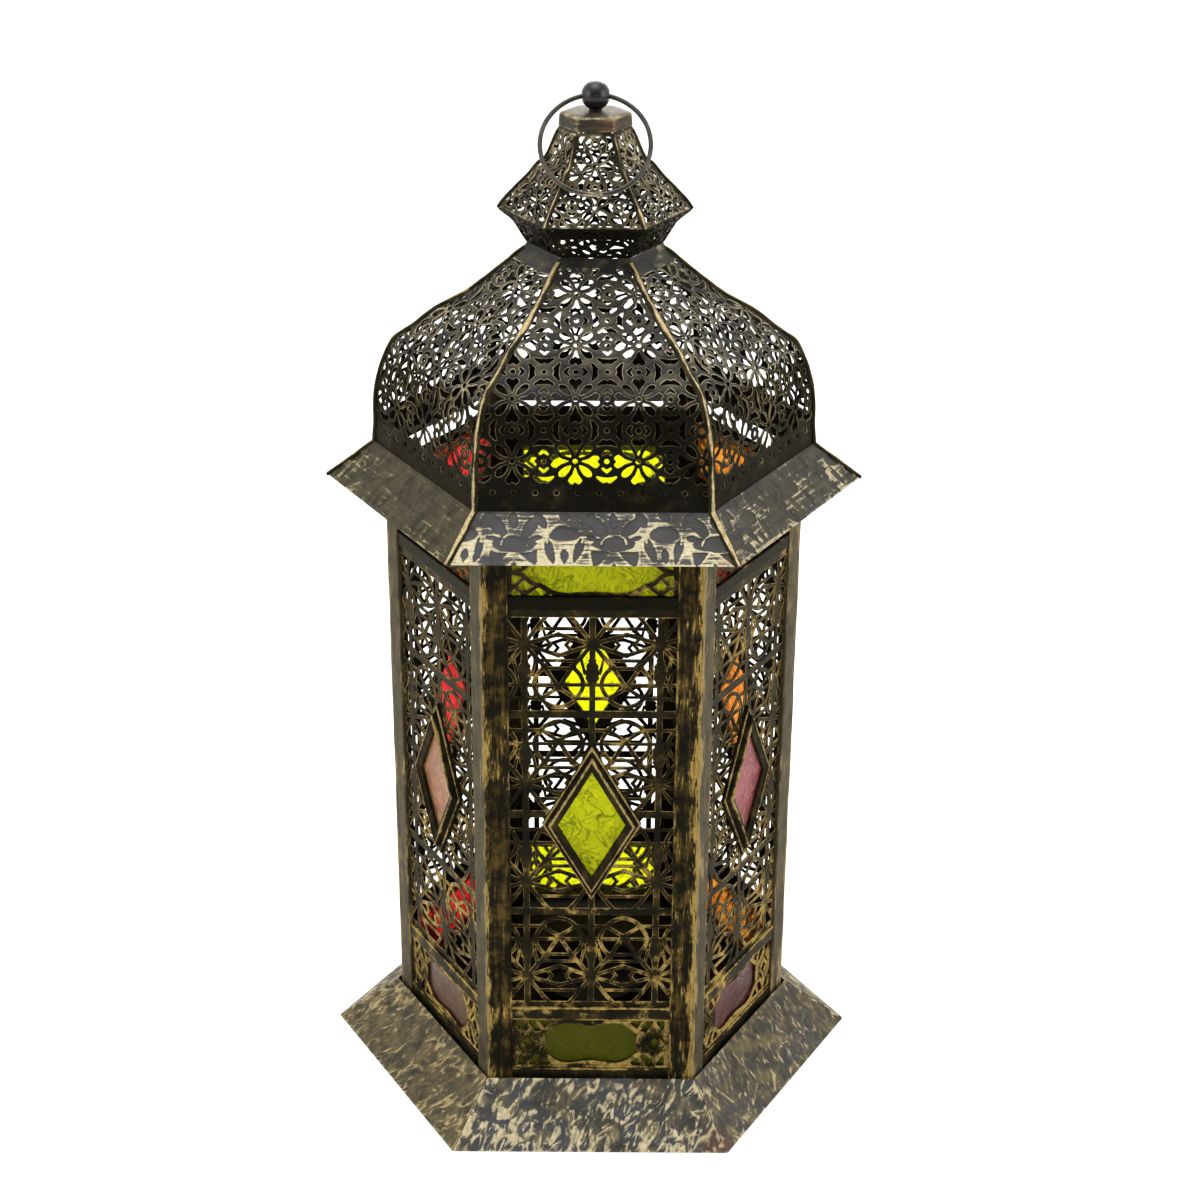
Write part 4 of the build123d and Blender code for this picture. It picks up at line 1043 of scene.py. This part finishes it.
h0, h1 = (120.0 * C30, 0.0), (79.3, 21.0)
hd = unit(arr(h1) - arr(h0)); hn = arr((hd[1], -hd[0]))
base_slope = along(h0, h1, 54) + [h1]
lip = h0[0] - 7.0
base_loop = base_slope + [tuple(arr(h1) - hn * SHEET), tuple(arr(h0) - hn * SHEET + hd * 1.2), (h0[0] - 2.6, 0.8), (lip, 0.8), (lip, 0.02), (h0[0] - 0.6, 0.0)]
b = Build()
for k, (name, turn) in enumerate(FACES.items()):
    plate(b, base_loop, (0, 54), 230, turn, lambda x, s, k=k: pressed(x, s, 47.0, 19.0, [-3.0, -5.0, 11.0, 2.0, -9.0, 14.0][k], 1.2), 31.0 * k + 400, fill=0.26 - 0.20 * TONE[name], line=0.16 - 0.06 * TONE[name], tone_and_side_light=BASE_TONE[name], less={"front_right": 0.22, "front_left": 0.06}.get(name, 0.0),
          mitre=0.5, copper_corner=(56, 3.0, 9.0) if name == "front" else ((-58, 2.0, 7.0) if name == "front_right" else None))
b.piece("base_sheets", "lantern", ["base_plates"], METAL, [base_metal, inside_metal], 45.0)


# ------------------------------------------------------------------ cap
def cap_piece():
    """The hexagonal cap with soft edges, hollow underneath."""
    prof = [(11.5 / C30, 426.45, 0.0), (15.0, 426.45, 0.3), (15.2, 426.7, 0.8), (15.1, 427.6, 0.25), (14.85, 430.6, 0.3), (14.6, 431.6, 0.95), (14.0, 432.05, 0.9),
            (12.6, 432.3, 0.35), (10.4, 432.58, 0.1), (6.0, 432.58, 0.1), (1.9, 432.58, 0.1), (1.7, 432.5, 0.0), (1.7, 430.7, 0.0), (11.4 / C30, 430.62, 0.0)]
    per = 10
    b = Build()
    rows, wear_and_pane_shade, flat, cop = [], [], [], []
    for r, z, w in prof:
        ring = []
        for c in range(6):
            p = arr((math.cos(math.radians(60 * c)), math.sin(math.radians(60 * c))))
            q = arr((math.cos(math.radians(60 * c + 60)), math.sin(math.radians(60 * c + 60))))
            for t in range(per):
                ring.append(p + (q - p) * t / per)
        ring = arr(ring)
        away = np.hypot(ring[:, 0], ring[:, 1])
        if r > 9:
            ring = ring * np.minimum(1.0, 0.985 / away)[:, None]
            corner = np.clip((away - 0.93) / 0.07, 0, 1)
        else:
            ring = ring / away[:, None] if r < 7 else ring
            corner = np.zeros(len(ring))
        rows.append(np.c_[ring * r, np.full(len(ring), z)])
        wear_and_pane_shade.append(np.clip(w + 0.5 * corner * (z > 426.6), 0, 1))
        flat.append(np.c_[np.arange(len(ring)) * 1.5, np.full(len(ring), z * 2 + r), np.full(len(ring), 5.0)])
        a = np.degrees(np.arctan2(ring[:, 1], ring[:, 0]))
        cop.append(np.clip(1.2 - np.abs(a + 60) / 16.0, 0, 1) * (426.5 < z) * (r > 13) * 0.75)
    m, n = len(rows), len(rows[0])
    faces = []
    for i in range(m):
        for j in range(n):
            a0, a1 = i * n + j, i * n + (j + 1) % n
            b0, b1 = ((i + 1) % m) * n + j, ((i + 1) % m) * n + (j + 1) % n
            faces.append((a0, a1, b1, b0))
    b.add(np.vstack(rows), faces, np.concatenate(wear_and_pane_shade), np.vstack(flat), 0, 0.0, np.concatenate(cop))
    return b.piece("cap_hexagon", "lantern", ["top_cap"], METAL, [cap_metal], 40.0)


cap_piece()

# ------------------------------------------------------------------ hanging ring
lean = math.radians(40.5)
down = arr((0, -math.sin(lean), -math.cos(lean)))
side = arr((1.0, 0, 0))
out = np.cross(side, down)
centre = arr((0, 0, 438.6)) + down * 21.8
b = Build()
NU, NV = 200, 16
verts, wear_and_pane_shade, flat, faces = [], [], [], []
for i in range(NU):
    a = 2 * math.pi * i / NU
    rad = side * math.cos(a) + down * math.sin(a)
    thick = 0.965 + 0.03 * noise.noise(Vector((math.cos(a) * 3, math.sin(a) * 3, 2.0)))
    for j in range(NV):
        t = 2 * math.pi * j / NV
        verts.append(centre + rad * (22.1 + math.cos(t) * thick) + out * math.sin(t) * thick)
        wear_and_pane_shade.append(max(0.0, math.cos(t)) * 0.6 + max(0.0, math.sin(a)) * 0.25)
        flat.append((a * 22.1, t * 1.0, 3.0))
        i2, j2 = (i + 1) % NU, (j + 1) % NV
        faces.append((i * NV + j, i2 * NV + j, i2 * NV + j2, i * NV + j2))
b.add(verts, faces, wear_and_pane_shade, flat)
b.piece("ring_loop", "ring", ["hanging_ring"], "ring_wire", [ring_metal], 80.0)

# ------------------------------------------------------------------ pieces that keep their shape and get a finish
KEPT = {"ball_finial": ball_metal, "finial_nut": fitting_metal, "floor_plate": fitting_metal, "candle_cup": fitting_metal, "door_hinge_leaves": fitting_metal,
        "door_hinge_knuckles": fitting_metal, "hinge_pins": fitting_metal, "latch_button": fitting_metal, "latch_rivet": fitting_metal}
for node, mat in KEPT.items():
    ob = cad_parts[node]
    ob.data.materials.clear()
    ob.data.materials.append(mat)
    if node not in ("ball_finial", "floor_plate"):
        bev = ob.modifiers.new("soft_edges", "BEVEL")
        bev.width = 0.00018
        bev.segments = 2
        bev.limit_method = "ANGLE"
        bev.angle_limit = math.radians(40)

# ------------------------------------------------------------------ floor, light and camera
me = bpy.data.meshes.new("floor")
me.from_pydata([(-40, -40, 0), (40, -40, 0), (40, 40, 0), (-40, 40, 0)], [], [(0, 1, 2, 3)])
floor = bpy.data.objects.new("floor", me)
bpy.context.scene.collection.objects.link(floor)
fm = Finish("floor_pale")
fm.set(Base_Color=(0.93, 0.93, 0.93), Roughness=0.9)
fm.b.inputs["Specular IOR Level"].default_value = 0.1
me.materials.append(fm.m)
floor.location.z = -0.0001

# white all round, with a dark stretch low in front, where the room is unlit
world = bpy.data.worlds.new("studio")
bpy.context.scene.world = world
world.use_nodes = True
wt = world.node_tree
bg = wt.nodes["Background"]
way = wt.nodes.new("ShaderNodeSeparateXYZ")
wt.links.new(wt.nodes.new("ShaderNodeTexCoord").outputs["Generated"], way.inputs[0])


def fade(sock, lo, hi, a, b):
    n = wt.nodes.new("ShaderNodeMapRange")
    n.interpolation_type = "SMOOTHSTEP"
    wt.links.new(sock, n.inputs["Value"])
    for key, v in (("From Min", lo), ("From Max", hi), ("To Min", a), ("To Max", b)):
        n.inputs[key].default_value = v
    return n.outputs["Result"]


dim = wt.nodes.new("ShaderNodeMath")
dim.operation = "MAXIMUM"
wt.links.new(fade(way.outputs["Y"], -0.85, -0.15, 0.12, 1.0), dim.inputs[0])
wt.links.new(fade(way.outputs["Z"], 0.45, 0.85, 0.0, 1.0), dim.inputs[1])
level = wt.nodes.new("ShaderNodeMath")
level.operation = "MULTIPLY"
wt.links.new(dim.outputs[0], level.inputs[0])
level.inputs[1].default_value = 1.25
wt.links.new(level.outputs[0], bg.inputs["Strength"])
bg.inputs["Color"].default_value = (1.0, 1.0, 1.0, 1.0)


def lamp(name, where, at, size, power):
    l = bpy.data.lights.new(name, "AREA")
    l.shape = "DISK"
    l.size = size
    l.energy = power
    o = bpy.data.objects.new(name, l)
    o.location = where
    o.rotation_euler = (Vector(at) - Vector(where)).to_track_quat("-Z", "Y").to_euler()
    bpy.context.scene.collection.objects.link(o)
    return o


lamp("top", (-0.1, 0.0, 1.8), (0, 0, 0.25), 1.2, 14)
lamp("left", (-1.15, -0.5, 0.75), (0, 0, 0.22), 0.9, 6.5)
lamp("right", (1.15, -0.45, 0.75), (0, 0, 0.22), 0.9, 7.5)
lamp("back", (0.1, 1.7, 1.3), (0, 0, 0.22), 1.4, 16)

cam = bpy.data.cameras.new("camera")
cam.sensor_width = 36.0
cam.lens = 69.15
cam.shift_x = 0.0056
cam.clip_start = 0.01
cam_ob = bpy.data.objects.new("camera", cam)
turned = math.radians(0.17)
cam_ob.location = (0.9252 * math.sin(turned), -0.9252 * math.cos(turned), 0.6288)
aim = Euler((math.radians(90 - 23.97), 0.0, turned)).to_matrix() @ Matrix.Rotation(math.radians(0.27), 3, "Z")
cam_ob.rotation_euler = aim.to_euler()
bpy.context.scene.collection.objects.link(cam_ob)
bpy.context.scene.camera = cam_ob
bpy.context.scene.view_settings.view_transform = "Standard"
